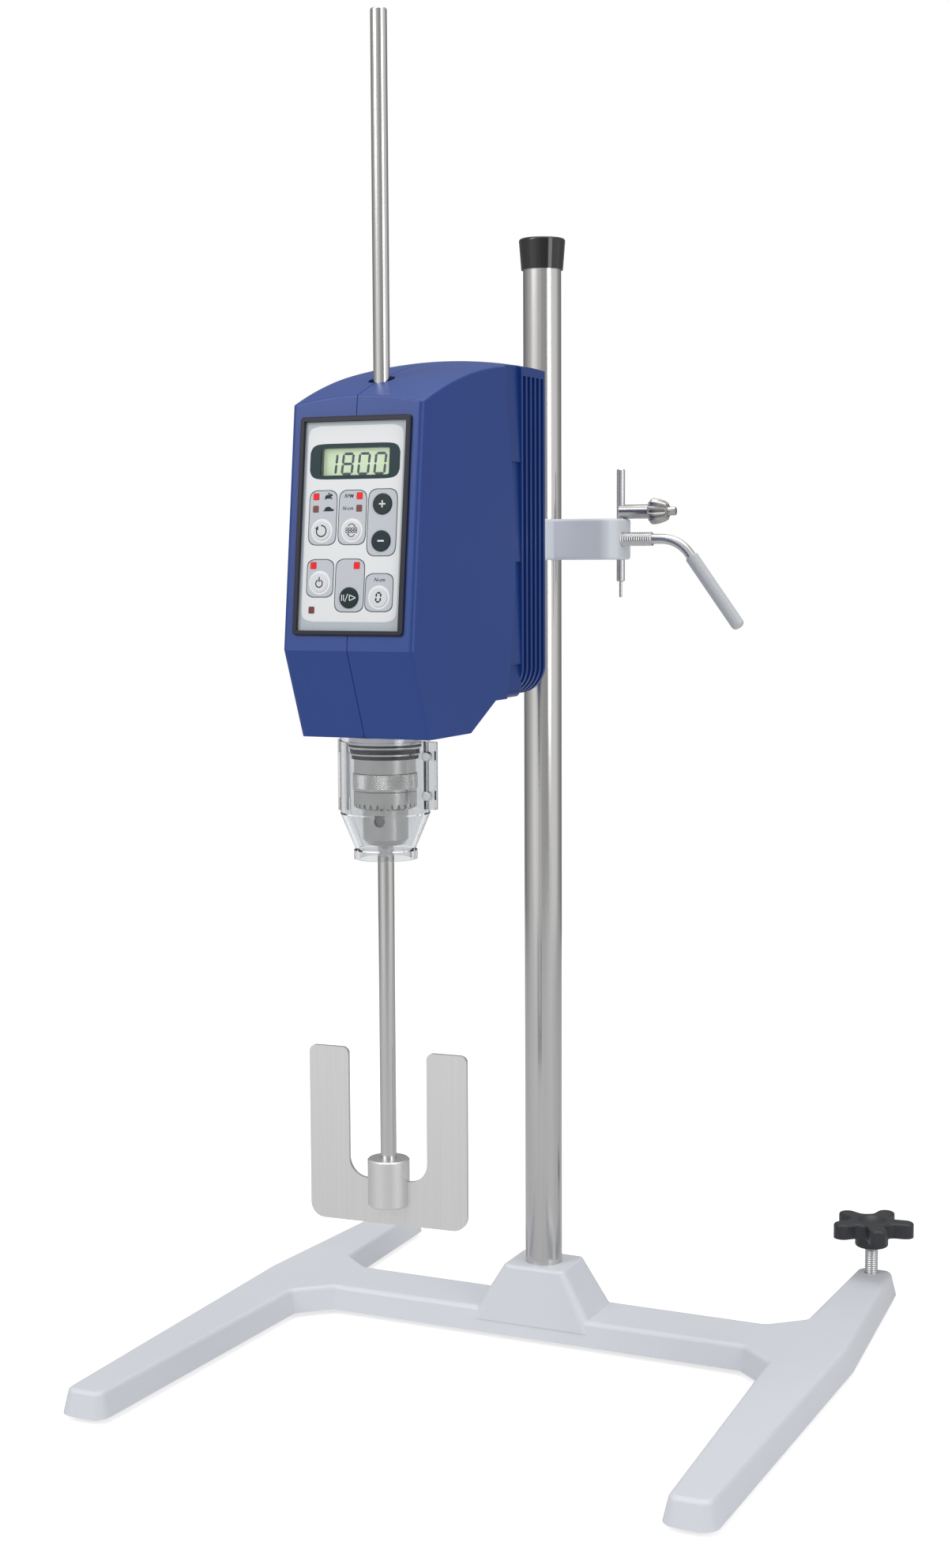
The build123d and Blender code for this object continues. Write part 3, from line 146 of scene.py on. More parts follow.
def make_tool_mark_group():
    """Fine parallel tool marks, drawn out along one axis by the Stretch vector."""
    group, given, result = new_group(
        "tool_marks",
        [("Color", "NodeSocketColor", (0.6, 0.6, 0.6, 1)), ("Drift Color", "NodeSocketColor", (0.5, 0.5, 0.5, 1)),
         ("Stretch", "NodeSocketVector", (600, 600, 4)), ("Roughness", "NodeSocketFloat", 0.25),
         ("Roughness Spread", "NodeSocketFloat", 0.15)],
        [("Color", "NodeSocketColor"), ("Roughness", "NodeSocketFloat"), ("Height", "NodeSocketFloat")])
    place = group.nodes.new("ShaderNodeTexCoord")
    stretch = group.nodes.new("ShaderNodeVectorMath")
    stretch.operation = "MULTIPLY"
    group.links.new(place.outputs["Object"], stretch.inputs[0])
    group.links.new(given.outputs["Stretch"], stretch.inputs[1])
    marks = group.nodes.new("ShaderNodeTexNoise")
    marks.inputs["Scale"].default_value = 1
    marks.inputs["Detail"].default_value = 4
    group.links.new(stretch.outputs[0], marks.inputs["Vector"])
    drift_finish(group, given, result, marks.outputs["Fac"])
    group.links.new(marks.outputs["Fac"], result.inputs["Height"])
    return group


GRAIN = make_grain_group()
TOOL_MARKS = make_tool_mark_group()


# ---------------------------------------------------------------- materials
def linear(red, green, blue):
    """An sRGB colour, 0 to 255, as linear values with alpha."""
    def one(value):
        share = value / 255
        return share / 12.92 if share <= 0.04045 else ((share + 0.055) / 1.055) ** 2.4
    return (one(red), one(green), one(blue), 1.0)


def finish_material(name, group, sockets, bump, bump_reach, **shader):
    """A material whose colour, roughness and relief come from one shared group."""
    material = bpy.data.materials.new(name)
    material.use_nodes = True
    tree = material.node_tree
    principled = tree.nodes["Principled BSDF"]
    detail = tree.nodes.new("ShaderNodeGroup")
    detail.node_tree = group
    for label, value in sockets.items():
        detail.inputs[label].default_value = value
    tree.links.new(detail.outputs["Color"], principled.inputs["Base Color"])
    tree.links.new(detail.outputs["Roughness"], principled.inputs["Roughness"])
    relief = tree.nodes.new("ShaderNodeBump")
    relief.inputs["Strength"].default_value = bump
    relief.inputs["Distance"].default_value = bump_reach
    tree.links.new(detail.outputs["Height"], relief.inputs["Height"])
    tree.links.new(relief.outputs["Normal"], principled.inputs["Normal"])
    for label, value in shader.items():
        principled.inputs[label.replace("_", " ")].default_value = value
    return material


def moulded(name, color, drift, rough, spread=0.08, grain=900, bump=0.15, reach=0.0002, drift_scale=12, **shader):
    """Plastic, paint, rubber or print."""
    sockets = {"Color": linear(*color), "Drift Color": linear(*drift), "Grain Scale": grain,
               "Drift Scale": drift_scale, "Roughness": rough, "Roughness Spread": spread}
    return finish_material(name, GRAIN, sockets, bump, reach, **shader)


def machined(name, color, drift, rough, stretch, spread=0.12, bump=0.1, reach=0.0001, **shader):
    """Bare metal with the marks of its last tool."""
    sockets = {"Color": linear(*color), "Drift Color": linear(*drift), "Stretch": stretch,
               "Roughness": rough, "Roughness Spread": spread}
    return finish_material(name, TOOL_MARKS, sockets, bump, reach, Metallic=1.0, **shader)


def clear_plastic(name, color, rough):
    """Clear moulded plastic with faint haze."""
    material = moulded(name, color, [value - 5 for value in color], rough, spread=0.03, grain=400, bump=0.02)
    principled = material.node_tree.nodes["Principled BSDF"]
    principled.inputs["Transmission Weight"].default_value = 1.0
    principled.inputs["IOR"].default_value = 1.49
    return material


# how tool marks are drawn out: few marks along the named axis, many across it
ALONG_Z = (700, 700, 5)
ROUND_Z = (5, 5, 1500)
ROUND_X = (1500, 5, 5)
MATERIALS = {
    "stand_paint": moulded("stand_paint", (225, 228, 234), (218, 221, 228), 0.42, grain=700, bump=0.25),
    # the clamp's own paint, lifted a little lighter than the stand's as painted highlight
    "clamp_paint": moulded("clamp_paint", (231, 235, 242), (225, 229, 237), 0.35, grain=800, bump=0.12),
    "clamp_grip": moulded("clamp_grip", (205, 208, 211), (199, 202, 205), 0.2, spread=0.03, bump=0.01, reach=0.00002),
    "black_rubber": moulded("black_rubber", (30, 30, 31), (38, 38, 39), 0.7, bump=0.3),
    "steel_fastener": machined("steel_fastener", (214, 214, 215), (198, 198, 199), 0.36, ROUND_Z),
    "bright_stainless": machined("bright_stainless", (212, 211, 210), (198, 197, 196), 0.17, ALONG_Z, spread=0.1),
    "paddle_stainless": machined("paddle_stainless", (230, 230, 229), (217, 217, 216), 0.4, ALONG_Z, spread=0.16),
    "black_gloss": moulded("black_gloss", (13, 13, 14), (19, 19, 21), 0.14, spread=0.05, bump=0.04,
                           Coat_Weight=0.5),
    "knob_plastic": moulded("knob_plastic", (42, 44, 48), (50, 52, 56), 0.38, grain=1200, bump=0.2),
    "blue_shell": moulded("blue_shell", (28, 66, 143), (25, 61, 135), 0.4, grain=1500, bump=0.08),
    "blue_cover": moulded("blue_cover", (26, 62, 135), (22, 57, 128), 0.3, grain=1500, bump=0.06),
    "bezel_plastic": moulded("bezel_plastic", (43, 44, 54), (37, 38, 47), 0.36, bump=0.1, Specular_IOR_Level=0.25),
    "overlay_white": moulded("overlay_white", (183, 193, 199), (177, 187, 194), 0.34, bump=0.05),
    "lens_clear": clear_plastic("lens_clear", (250, 252, 250), 0.05),
    # the display face's emission is painted light that brightens it
    "lcd_green": moulded("lcd_green", (228, 242, 212), (214, 233, 196), 0.3, bump=0.02, drift_scale=40,
                         Emission_Color=linear(205, 235, 180), Emission_Strength=0.22),
    "led_red": moulded("led_red", (214, 34, 34), (190, 24, 26), 0.2, bump=0.02),
    "board_green": moulded("board_green", (30, 92, 52), (24, 80, 44), 0.35, bump=0.1),
    "inlet_plastic": moulded("inlet_plastic", (24, 24, 25), (30, 30, 31), 0.5, bump=0.15),
    "key_light": moulded("key_light", (221, 223, 226), (214, 216, 220), 0.32, bump=0.03),
    "key_dark": moulded("key_dark", (20, 42, 46), (16, 36, 40), 0.24, bump=0.03, Specular_IOR_Level=0.25),
    "cast_aluminium": machined("cast_aluminium", (190, 191, 193), (172, 173, 175), 0.45, (300, 300, 300)),
    "collar_aluminium": machined("collar_aluminium", (214, 215, 218), (200, 201, 204), 0.28, ROUND_Z),
    "bearing_steel": machined("bearing_steel", (196, 197, 200), (180, 181, 184), 0.15, ROUND_Z),
    "motor_case": moulded("motor_case", (40, 40, 43), (48, 48, 51), 0.4),
    "chuck_steel": machined("chuck_steel", (201, 200, 197), (182, 181, 178), 0.3, ROUND_Z),
    "jaw_steel": machined("jaw_steel", (140, 140, 139), (120, 120, 119), 0.35, ALONG_Z),
    "clear_guard": clear_plastic("clear_guard", (226, 228, 230), 0.04),
}
SLOTS = {entry["node"]: entry["material_slot"] for entry in RECORD["subparts"]}
for node_name, node in NODES.items():
    node.data.materials.clear()
    node.data.materials.append(MATERIALS[SLOTS[node_name]])

# ---------------------------------------------------------------- modelling helpers
MERGE_REACH = 1e-6            # metres within which corners are one


def select_only(piece):
    """Makes the piece the only selected object, and the active one."""
    bpy.ops.object.select_all(action="DESELECT")
    piece.select_set(True)
    bpy.context.view_layer.objects.active = piece


def apply_place(piece):
    """Moves the piece's place, turn and size into its mesh."""
    select_only(piece)
    bpy.ops.object.transform_apply(location=True, rotation=True, scale=True)


def finish_piece(piece, name, material, body, place=None):
    """Names the piece, applies its place, turns its faces outwards and hangs it on its body."""
    piece.name = name
    piece.data.name = name
    if place is not None:
        piece.matrix_world = place @ piece.matrix_world
    apply_place(piece)
    bpy.ops.object.mode_set(mode="EDIT")
    bpy.ops.mesh.select_all(action="SELECT")
    bpy.ops.mesh.remove_doubles(threshold=MERGE_REACH)
    bpy.ops.mesh.normals_make_consistent(inside=False)
    bpy.ops.object.mode_set(mode="OBJECT")
    piece.data.materials.clear()
    piece.data.materials.append(material)
    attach(piece, body)
    return piece


def join_pieces(parts):
    """Several meshes made into one."""
    bpy.ops.object.select_all(action="DESELECT")
    for part in parts:
        part.select_set(True)
    bpy.context.view_layer.objects.active = parts[0]
    if len(parts) > 1:
        bpy.ops.object.join()
    return parts[0]


def outline_plate(points, low, thickness):
    """A flat plate with this outline, standing on the low plane."""
    bpy.ops.object.select_all(action="DESELECT")
    bpy.ops.mesh.primitive_circle_add(vertices=len(points), radius=1, fill_type="NGON")
    plate = bpy.context.object
    for vertex, (u, v) in zip(plate.data.vertices, points):
        vertex.co = (u, v, low)
    bpy.ops.object.mode_set(mode="EDIT")
    bpy.ops.mesh.select_all(action="SELECT")
    bpy.ops.mesh.extrude_region_move(TRANSFORM_OT_translate={"value": (0, 0, thickness)})
    bpy.ops.object.mode_set(mode="OBJECT")
    return plate


def soft_rectangle(centre, half, power=8, side_arch=0, end_arch=0, count=64):
    """Points round a rectangle with soft corners, its sides or ends arched by a height."""
    points = []
    for step in range(count):
        angle = 2 * pi * (step + 0.5) / count
        across = abs(cos(angle)) ** (2 / power) * (1 if cos(angle) > 0 else -1)
        along = abs(sin(angle)) ** (2 / power) * (1 if sin(angle) > 0 else -1)
        u = across * (half[0] - side_arch * along**2)
        v = along * (half[1] - end_arch * across**2)
        points.append((centre[0] + u, centre[1] + v))
    return points


def ring_plate(centre, radius, width, start, sweep, low, thickness, steps=28):
    """A flat line along an arc, from its start through its sweep in degrees."""
    inner, outer = [], []
    for step in range(steps + 1):
        angle = radians(start + sweep * step / steps)
        inner.append((centre[0] + (radius - width / 2) * cos(angle), centre[1] + (radius - width / 2) * sin(angle)))
        outer.append((centre[0] + (radius + width / 2) * cos(angle), centre[1] + (radius + width / 2) * sin(angle)))
    return outline_plate(outer + inner[::-1], low, thickness)


def bar_plate(start, end, width, low, thickness, pointed=0):
    """A straight line from start to end, with square or pointed ends."""
    along = Vector((end[0] - start[0], end[1] - start[1]))
    side = Vector((-along.y, along.x)).normalized() * width / 2
    tip = along.normalized() * pointed
    first, last = Vector(start), Vector(end)
    if not pointed:
        corners = [first - side, last - side, last + side, first + side]
    else:
        corners = [first, first + tip - side, last - tip - side, last, last - tip + side, first + tip + side]
    return outline_plate([tuple(corner) for corner in corners], low, thickness)


# ---------------------------------------------------------------- front panel
PANEL_LEAN = radians(6.42)
PANEL = Matrix(((1, 0, 0, 0),
                (0, sin(PANEL_LEAN), -cos(PANEL_LEAN), ROD_Y - 276.2 * MM),
                (0, cos(PANEL_LEAN), sin(PANEL_LEAN), 555.2 * MM),
                (0, 0, 0, 1))) @ Matrix.Scale(MM, 4)
FILM = -1.2                   # front of the overlay, behind the housing's face
KEY_FACE = -0.5               # front of the keys
LCD_FACE = -5.7               # front of the sunk display
LAYER = 0.04                  # one layer of print
SIGN_LEVEL = FILM + 0.12      # signs and rings, on top of the pads
LAMP_LEVEL = FILM + 0.14
WORD_LEVEL = FILM + 0.17
SQUARE = 24                   # corner power of the nearly square outlines
WINDOW_CENTRE, WINDOW_HALF = (0, 36.4), (21.7, 7.8)
FIGURES_LEFT, FIGURE_PITCH, FIGURES_LEVEL = -16.8, 10.3, 35.6
FIGURE_WIDTH, FIGURE_HEIGHT, FIGURE_LINE, FIGURE_SLOPE = 6.2, 11.4, 1.45, 0.08
INK = {
    "white": moulded("print_white", (232, 233, 234), (227, 229, 231), 0.32, bump=0.03),
    "pad": moulded("print_grey", (196, 199, 206), (190, 194, 201), 0.32, bump=0.03),
    "line": moulded("print_teal", (66, 92, 94), (60, 86, 88), 0.32, bump=0.03, Specular_IOR_Level=0.25),
    # the dark print round the display window, and painted shade on the sides of the display recess
    "surround": moulded("print_and_shade_dark_teal", (26, 54, 60), (22, 48, 54), 0.28, bump=0.03, Specular_IOR_Level=0.2),
    "symbol": moulded("print_symbol", (24, 50, 52), (20, 45, 47), 0.32, bump=0.03, Specular_IOR_Level=0.2),
    # pale print on the dark keys, and the painted highlight rings round the light keys
    "bright": moulded("print_and_highlight_bright", (240, 242, 243), (234, 237, 239), 0.3, bump=0.03),
    "digit": moulded("display_digit", (20, 58, 86), (16, 52, 80), 0.3, bump=0.02, Specular_IOR_Level=0.2),
    "lamp_on": moulded("lamp_on", (226, 22, 28), (204, 16, 22), 0.3, bump=0.02, Specular_IOR_Level=0.2,
                       Emission_Color=linear(255, 20, 20), Emission_Strength=0.3),
    "lamp_off": moulded("lamp_off", (112, 44, 36), (104, 40, 33), 0.25, bump=0.02),
    "lamp_edge": moulded("lamp_edge", (176, 40, 38), (166, 36, 34), 0.25, bump=0.02),
}


def on_panel(name, parts, ink, body="head"):
    """Print or symbols, joined into one piece and laid on the panel."""
    return finish_piece(join_pieces(parts), name, INK[ink], body, PANEL)


# groups of keys: centre and half size of each printed pad
KEY_GROUPS = [((-18.85, 4.75), (9.05, 16.25)), ((-0.05, 4.8), (8.95, 16.2)), ((18.85, 1.8), (9.35, 19.6)),
              ((-19.0, -29.5), (8.7, 11.5)), ((0.0, -33.55), (9.4, 15.75)), ((18.7, -37.5), (8.9, 11.5))]
LIT_LAMPS = [(-23.5, 16.7), (4.1, 16.9), (-23.5, -22.3), (4.1, -22.3)]
DARK_LAMPS = [(-23.5, 9.7), (4.1, 9.9), (-23.7, -47.5)]
KEYS = {"direction_key": (-19.2, -2.6), "display_key": (0.0, -2.5), "plus_key": (18.7, 12.1),
        "minus_key": (18.7, -8.6), "power_key": (-19.2, -32.0), "run_key": (0.0, -40.5), "zero_key": (18.7, -40.2)}
PAD_BORDER = 0.5              # width of the line round each printed pad
UNIT_HEIGHT = 3.0             # size of the unit marks


def print_panel():
    """The printed areas of the overlay, from the bottom layer up."""
    white_outline = soft_rectangle((0, 1.3), (30.2, 57.3), SQUARE, end_arch=3.4, count=96)
    white_area = outline_plate(white_outline, FILM, LAYER)
    cut_through(white_area, window_cutter(FILM - 1, 3))
    on_panel("panel_white_area", [white_area], "white")
    lines, pads = [], []
    for centre, half in KEY_GROUPS:
        lines.append(outline_plate(soft_rectangle(centre, half, 9, end_arch=2.2), FILM + LAYER, LAYER))
        inside = (half[0] - PAD_BORDER, half[1] - PAD_BORDER)
        pads.append(outline_plate(soft_rectangle(centre, inside, 9, end_arch=2.2), FILM + 2 * LAYER, LAYER))
    on_panel("key_group_lines", lines, "line")
    on_panel("key_group_pads", pads, "pad")


def print_display():
    """The dark frame round the display window, and the four figures behind it."""
    outer = soft_rectangle((0, 36.5), (29, 10.1), 9, side_arch=2.6, count=96)
    frame_plate = outline_plate(outer, FILM + 0.02, 0.06)
    cut_through(frame_plate, window_cutter(FILM - 1, 3))
    on_panel("display_frame", [frame_plate], "surround")
    figures = []
    for place, segments in enumerate(("bc", "abcdefg", "abcdef", "abcdef")):
        centre = (FIGURES_LEFT + FIGURE_PITCH * place, FIGURES_LEVEL)
        figures += seven_segments(centre, segments, FIGURE_WIDTH, FIGURE_HEIGHT, FIGURE_LINE, LCD_FACE, 0.08)
    on_panel("display_figures", figures, "digit")


def window_cutter(low, height):
    """The display window's opening, as a block that stands on the low plane."""
    return outline_plate(soft_rectangle(WINDOW_CENTRE, WINDOW_HALF, SQUARE, count=96), low, height)


def display_tunnel():
    """The sides between the window and the sunk display face, coloured dark as painted shade in the recess."""
    outside = (WINDOW_HALF[0] + 1, WINDOW_HALF[1] + 1)
    tunnel = outline_plate(soft_rectangle(WINDOW_CENTRE, outside, SQUARE, count=96), LCD_FACE + 0.1, 3.2)
    cut_through(tunnel, window_cutter(LCD_FACE - 2, 9))
    on_panel("display_tunnel", [tunnel], "surround")


def cut_through(plate, cutter):
    """Takes the cutter's shape out of the plate."""
    modifier = plate.modifiers.new("window", "BOOLEAN")
    modifier.operation = "DIFFERENCE"
    modifier.solver = "EXACT"
    modifier.object = cutter
    select_only(plate)
    bpy.ops.object.modifier_apply(modifier=modifier.name)
    bpy.data.objects.remove(cutter)


def seven_segments(centre, segments, width, height, line, low, thickness):
    """The lit bars of one sloping figure."""
    half, mid = width / 2, height / 2
    corners = {"a": ((-half, mid), (half, mid)), "b": ((half, mid), (half, 0)), "c": ((half, 0), (half, -mid)),
               "d": ((-half, -mid), (half, -mid)), "e": ((-half, 0), (-half, -mid)), "f": ((-half, mid), (-half, 0)),
               "g": ((-half, 0), (half, 0))}
    bars = []
    for segment in segments:
        ends = [Vector((centre[0] + x + FIGURE_SLOPE * y, centre[1] + y)) for x, y in corners[segment]]
        gap = (ends[1] - ends[0]).normalized() * 0.18
        bars.append(bar_plate(ends[0] + gap, ends[1] - gap, line, low, thickness, pointed=line / 2))
    return bars


def print_words(name, text, centre):
    """Small sloping unit marks."""
    bpy.ops.object.select_all(action="DESELECT")
    bpy.ops.object.text_add()
    words = bpy.context.object
    words.data.body = text
    words.data.size = UNIT_HEIGHT
    words.data.shear = 0.25
    words.data.extrude = 0.03
    words.data.offset = 0.012
    words.data.align_x = "CENTER"
    words.data.align_y = "CENTER"
    bpy.ops.object.convert(target="MESH")
    words.location = (centre[0], centre[1], WORD_LEVEL)
    bpy.ops.object.transform_apply(location=True)
    on_panel(name, [words], "symbol")


def print_lamps():
    """Square indicator windows with a darker rim."""
    def lamps(spots, half, low, thickness):
        return [outline_plate(soft_rectangle(spot, half, 7, count=32), low, thickness) for spot in spots]

    on_panel("lamp_rims", lamps(LIT_LAMPS, (1.95, 2.0), LAMP_LEVEL, 0.05), "lamp_edge")
    on_panel("lamps_on", lamps(LIT_LAMPS, (1.6, 1.65), LAMP_LEVEL + 0.05, LAYER), "lamp_on")
    on_panel("lamps_off", lamps(DARK_LAMPS, (1.85, 1.95), LAMP_LEVEL, 0.06), "lamp_off")


def arrow_head(tip, direction, size, low, thickness):
    """A small triangle that points from its base to the tip."""
    along = Vector(direction).normalized() * size
    side = Vector((-along.y, along.x)) * 0.5
    base = Vector(tip) - along
    return outline_plate([tuple(base - side), tuple(Vector(tip)), tuple(base + side)], low, thickness)


def oval(centre, half, count=20):
    """Points round an ellipse."""
    return soft_rectangle(centre, half, 2, count=count)


def print_speed_signs():
    """A hare for the fast range and a tortoise for the slow one, beside their lamps."""
    low, thick, u, v = SIGN_LEVEL, 0.05, -15.6, 16.9
    hare = [outline_plate(oval((u - 0.4, v - 0.3), (1.9, 1.1)), low, thick),
            outline_plate(oval((u + 1.6, v + 0.6), (0.85, 0.7)), low, thick + 0.01),
            outline_plate([(u + 0.4, v + 0.7), (u + 1.4, v + 0.6), (u + 0.1, v + 2.0), (u - 0.7, v + 1.9)], low,
                          thick + 0.02),
            outline_plate([(u - 1.9, v - 0.6), (u - 0.9, v - 1.2), (u - 2.0, v - 1.8), (u - 2.7, v - 1.5)], low,
                          thick + 0.02),
            outline_plate([(u + 0.9, v + 0.2), (u + 0.4, v - 0.9), (u + 1.9, v - 1.7), (u + 2.4, v - 1.3)], low,
                          thick + 0.02)]
    v = 9.7
    shell = [(u + 2.5 * cos(radians(turn)), v - 0.9 + 2.2 * sin(radians(turn))) for turn in range(0, 181, 12)]
    tortoise = [outline_plate(shell, low, thick),
                outline_plate([(u - 3.2, v - 1.3), (u + 2.9, v - 1.3), (u + 2.9, v - 0.9), (u - 3.2, v - 0.9)], low,
                              thick + 0.01),
                outline_plate(oval((u + 3.0, v - 0.5), (0.7, 0.55)), low, thick + 0.02)]
    on_panel("fast_sign", hare, "symbol")
    on_panel("slow_sign", tortoise, "symbol")


def paint_key_highlights():
    """Pale rings round the light keys: painted highlights on the overlay."""
    light = [ring_plate(KEYS[key], 6.0, 1.5, 0, 360, SIGN_LEVEL, LAYER, 48)
             for key in ("direction_key", "display_key", "power_key", "zero_key")]
    on_panel("light_key_highlight_rings", light, "bright")


def print_key_symbols():
    """The sign on each key, riding with it."""
    low, thick = KEY_FACE, 0.05

    def at(key, u, v):
        return (KEYS[key][0] + u, KEYS[key][1] + v)

    turn = [ring_plate(at("direction_key", 0, -0.2), 3.1, 0.7, 150, 305, low, thick),
            arrow_head(at("direction_key", -2.0, 2.8), (0.5, 1.0), 2.3, low, thick)]
    on_panel("direction_symbol", turn, "symbol", "direction_key_cap")
    shown = [ring_plate(at("display_key", 0, 1.4), 2.2, 0.45, 20, 140, low, thick),
             ring_plate(at("display_key", 0, -1.4), 2.2, 0.45, 200, 140, low, thick),
             arrow_head(at("display_key", 2.2, 1.5), (0.3, -1.0), 1.1, low, thick),
             arrow_head(at("display_key", -2.2, -1.5), (-0.3, 1.0), 1.1, low, thick)]
    for column in range(4):
        for row in (-0.75, 0.75):
            shown.append(ring_plate(at("display_key", -2.85 + 1.9 * column, row), 0.72, 0.4, 0, 359, low, thick, 16))
    on_panel("display_symbol", shown, "symbol", "display_key_cap")
    power = [ring_plate(at("power_key", 0, -0.5), 2.1, 0.65, 112, 316, low, thick),
             bar_plate(at("power_key", 0, 0.4), at("power_key", 0, 3.2), 0.7, low, thick)]
    on_panel("power_symbol", power, "symbol", "power_key_cap")
    zero = seven_segments(at("zero_key", 0, 0), "abcdef", 2.7, 5.0, 0.95, low, thick)
    on_panel("zero_symbol", zero, "symbol", "zero_key_cap")
    plus = [bar_plate(at("plus_key", -2.0, 0), at("plus_key", 2.0, 0), 0.75, low, thick),
            bar_plate(at("plus_key", 0, -2.0), at("plus_key", 0, 2.0), 0.75, low, thick)]
    on_panel("plus_symbol", plus, "bright", "plus_key_cap")
    minus = [bar_plate(at("minus_key", -2.0, 0), at("minus_key", 2.0, 0), 0.85, low, thick)]
    on_panel("minus_symbol", minus, "bright", "minus_key_cap")
    run = [bar_plate(at("run_key", -4.4, -1.7), at("run_key", -4.4, 1.7), 0.45, low, thick),
           bar_plate(at("run_key", -3.2, -1.7), at("run_key", -3.2, 1.7), 0.45, low, thick),
           bar_plate(at("run_key", -2.3, -2.2), at("run_key", -0.6, 2.2), 0.4, low, thick)]
    corners = [at("run_key", 0.5, -1.6), at("run_key", 4.4, 0), at("run_key", 0.5, 1.6)]
    for first, last in zip(corners, corners[1:] + corners[:1]):
        run.append(bar_plate(first, last, 0.45, low, thick))
    on_panel("run_symbol", run, "bright", "run_key_cap")


print_panel()
print_display()
display_tunnel()
print_lamps()
print_words("speed_unit", "RPM", (-2.8, 16.8))
print_words("torque_unit", "N-cm", (-3.2, 9.9))
print_words("zero_unit", "N-cm", (18.7, -30.4))
print_key_symbols()
print_speed_signs()
paint_key_highlights()

# ---------------------------------------------------------------- threads and knurling
THREAD_PITCH = 1.5875
# one turn of the thread: at its crest or at its root, and the share of the pitch
THREAD_PROFILE = (("root", 0), ("root", 0.12), ("crest", 0.44), ("crest", 0.56), ("root", 0.88), ("root", 1.0))
STUD_SPOT = Vector((190.3, 206.71, 0)) * MM
STUD_CREST, STUD_ROOT = 4.75, 4.2


def cut_end(piece, height, keep_below):
    """Cuts a piece level at a height, in its own frame, and closes the cut."""
    select_only(piece)
    bpy.ops.object.mode_set(mode="EDIT")
    bpy.ops.mesh.select_all(action="SELECT")
    bpy.ops.mesh.bisect(plane_co=(0, 0, height), plane_no=(0, 0, 1), use_fill=True,
                        clear_outer=keep_below, clear_inner=not keep_below)
    bpy.ops.object.mode_set(mode="OBJECT")


def thread_bar(low, high, crest, root):
    """A threaded bar along Z: one pitch of thread profile, screwed up the bar and cut level."""
    bpy.ops.object.select_all(action="DESELECT")
    radii = {"crest": crest, "root": root}
    profile = [(radii[level], share) for level, share in THREAD_PROFILE]
    start = low - 2 * THREAD_PITCH
    bpy.ops.mesh.primitive_plane_add(size=1, location=(root * MM, 0, start * MM))
    bar = bpy.context.object
    bpy.ops.object.mode_set(mode="EDIT")
    bpy.ops.mesh.select_all(action="SELECT")
    bpy.ops.mesh.merge(type="CENTER")
    for (radius, share), (next_radius, next_share) in zip(profile, profile[1:]):
        step = ((next_radius - radius) * MM, 0, (next_share - share) * THREAD_PITCH * MM)
        bpy.ops.mesh.extrude_region_move(TRANSFORM_OT_translate={"value": step})
    bpy.ops.object.mode_set(mode="OBJECT")
    bpy.ops.object.transform_apply(location=True, rotation=True, scale=True)
    turns = int((high - low) / THREAD_PITCH) + 4
    screw = bar.modifiers.new("thread", "SCREW")
    screw.screw_offset = THREAD_PITCH * MM
    screw.iterations = turns
    screw.steps = screw.render_steps = 20
    screw.use_merge_vertices = True
    screw.merge_threshold = MERGE_REACH
    bpy.ops.object.modifier_apply(modifier=screw.name)
    bpy.ops.object.mode_set(mode="EDIT")
    bpy.ops.mesh.select_all(action="SELECT")
    bpy.ops.mesh.remove_doubles(threshold=MERGE_REACH)
    bpy.ops.object.mode_set(mode="OBJECT")
    cut_end(bar, low * MM, False)
    cut_end(bar, high * MM, True)
    return bar


def levelling_thread():
    """The levelling stud with its thread cut."""
    low, high = (value[2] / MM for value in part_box("levelling_stud"))
    stud = thread_bar(low, high, STUD_CREST, STUD_ROOT)
    finish_piece(stud, "levelling_thread", MATERIALS["steel_fastener"], "levelling_screw",
                 Matrix.Translation(STUD_SPOT))
    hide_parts("levelling_stud")


LEVER_SATIN = machined("lever_satin", (224, 224, 223), (210, 210, 209), 0.33, ROUND_X, spread=0.1)
LEVER_AXIS_Z = 548.5
LEVER_THREAD_START, LEVER_THREAD_END, LEVER_CREST, LEVER_ROOT = 15.7, 78.5, 4.6, 4.05
LEVER_BAR_START, LEVER_CORNER, LEVER_RADIUS = 77, 97, 3.3
LEVER_BEND, LEVER_DROOP = 24.0, radians(54)
LEVER_SLOPE_LENGTH = 14.3 + 45    # from the corner to the grip, and on inside it


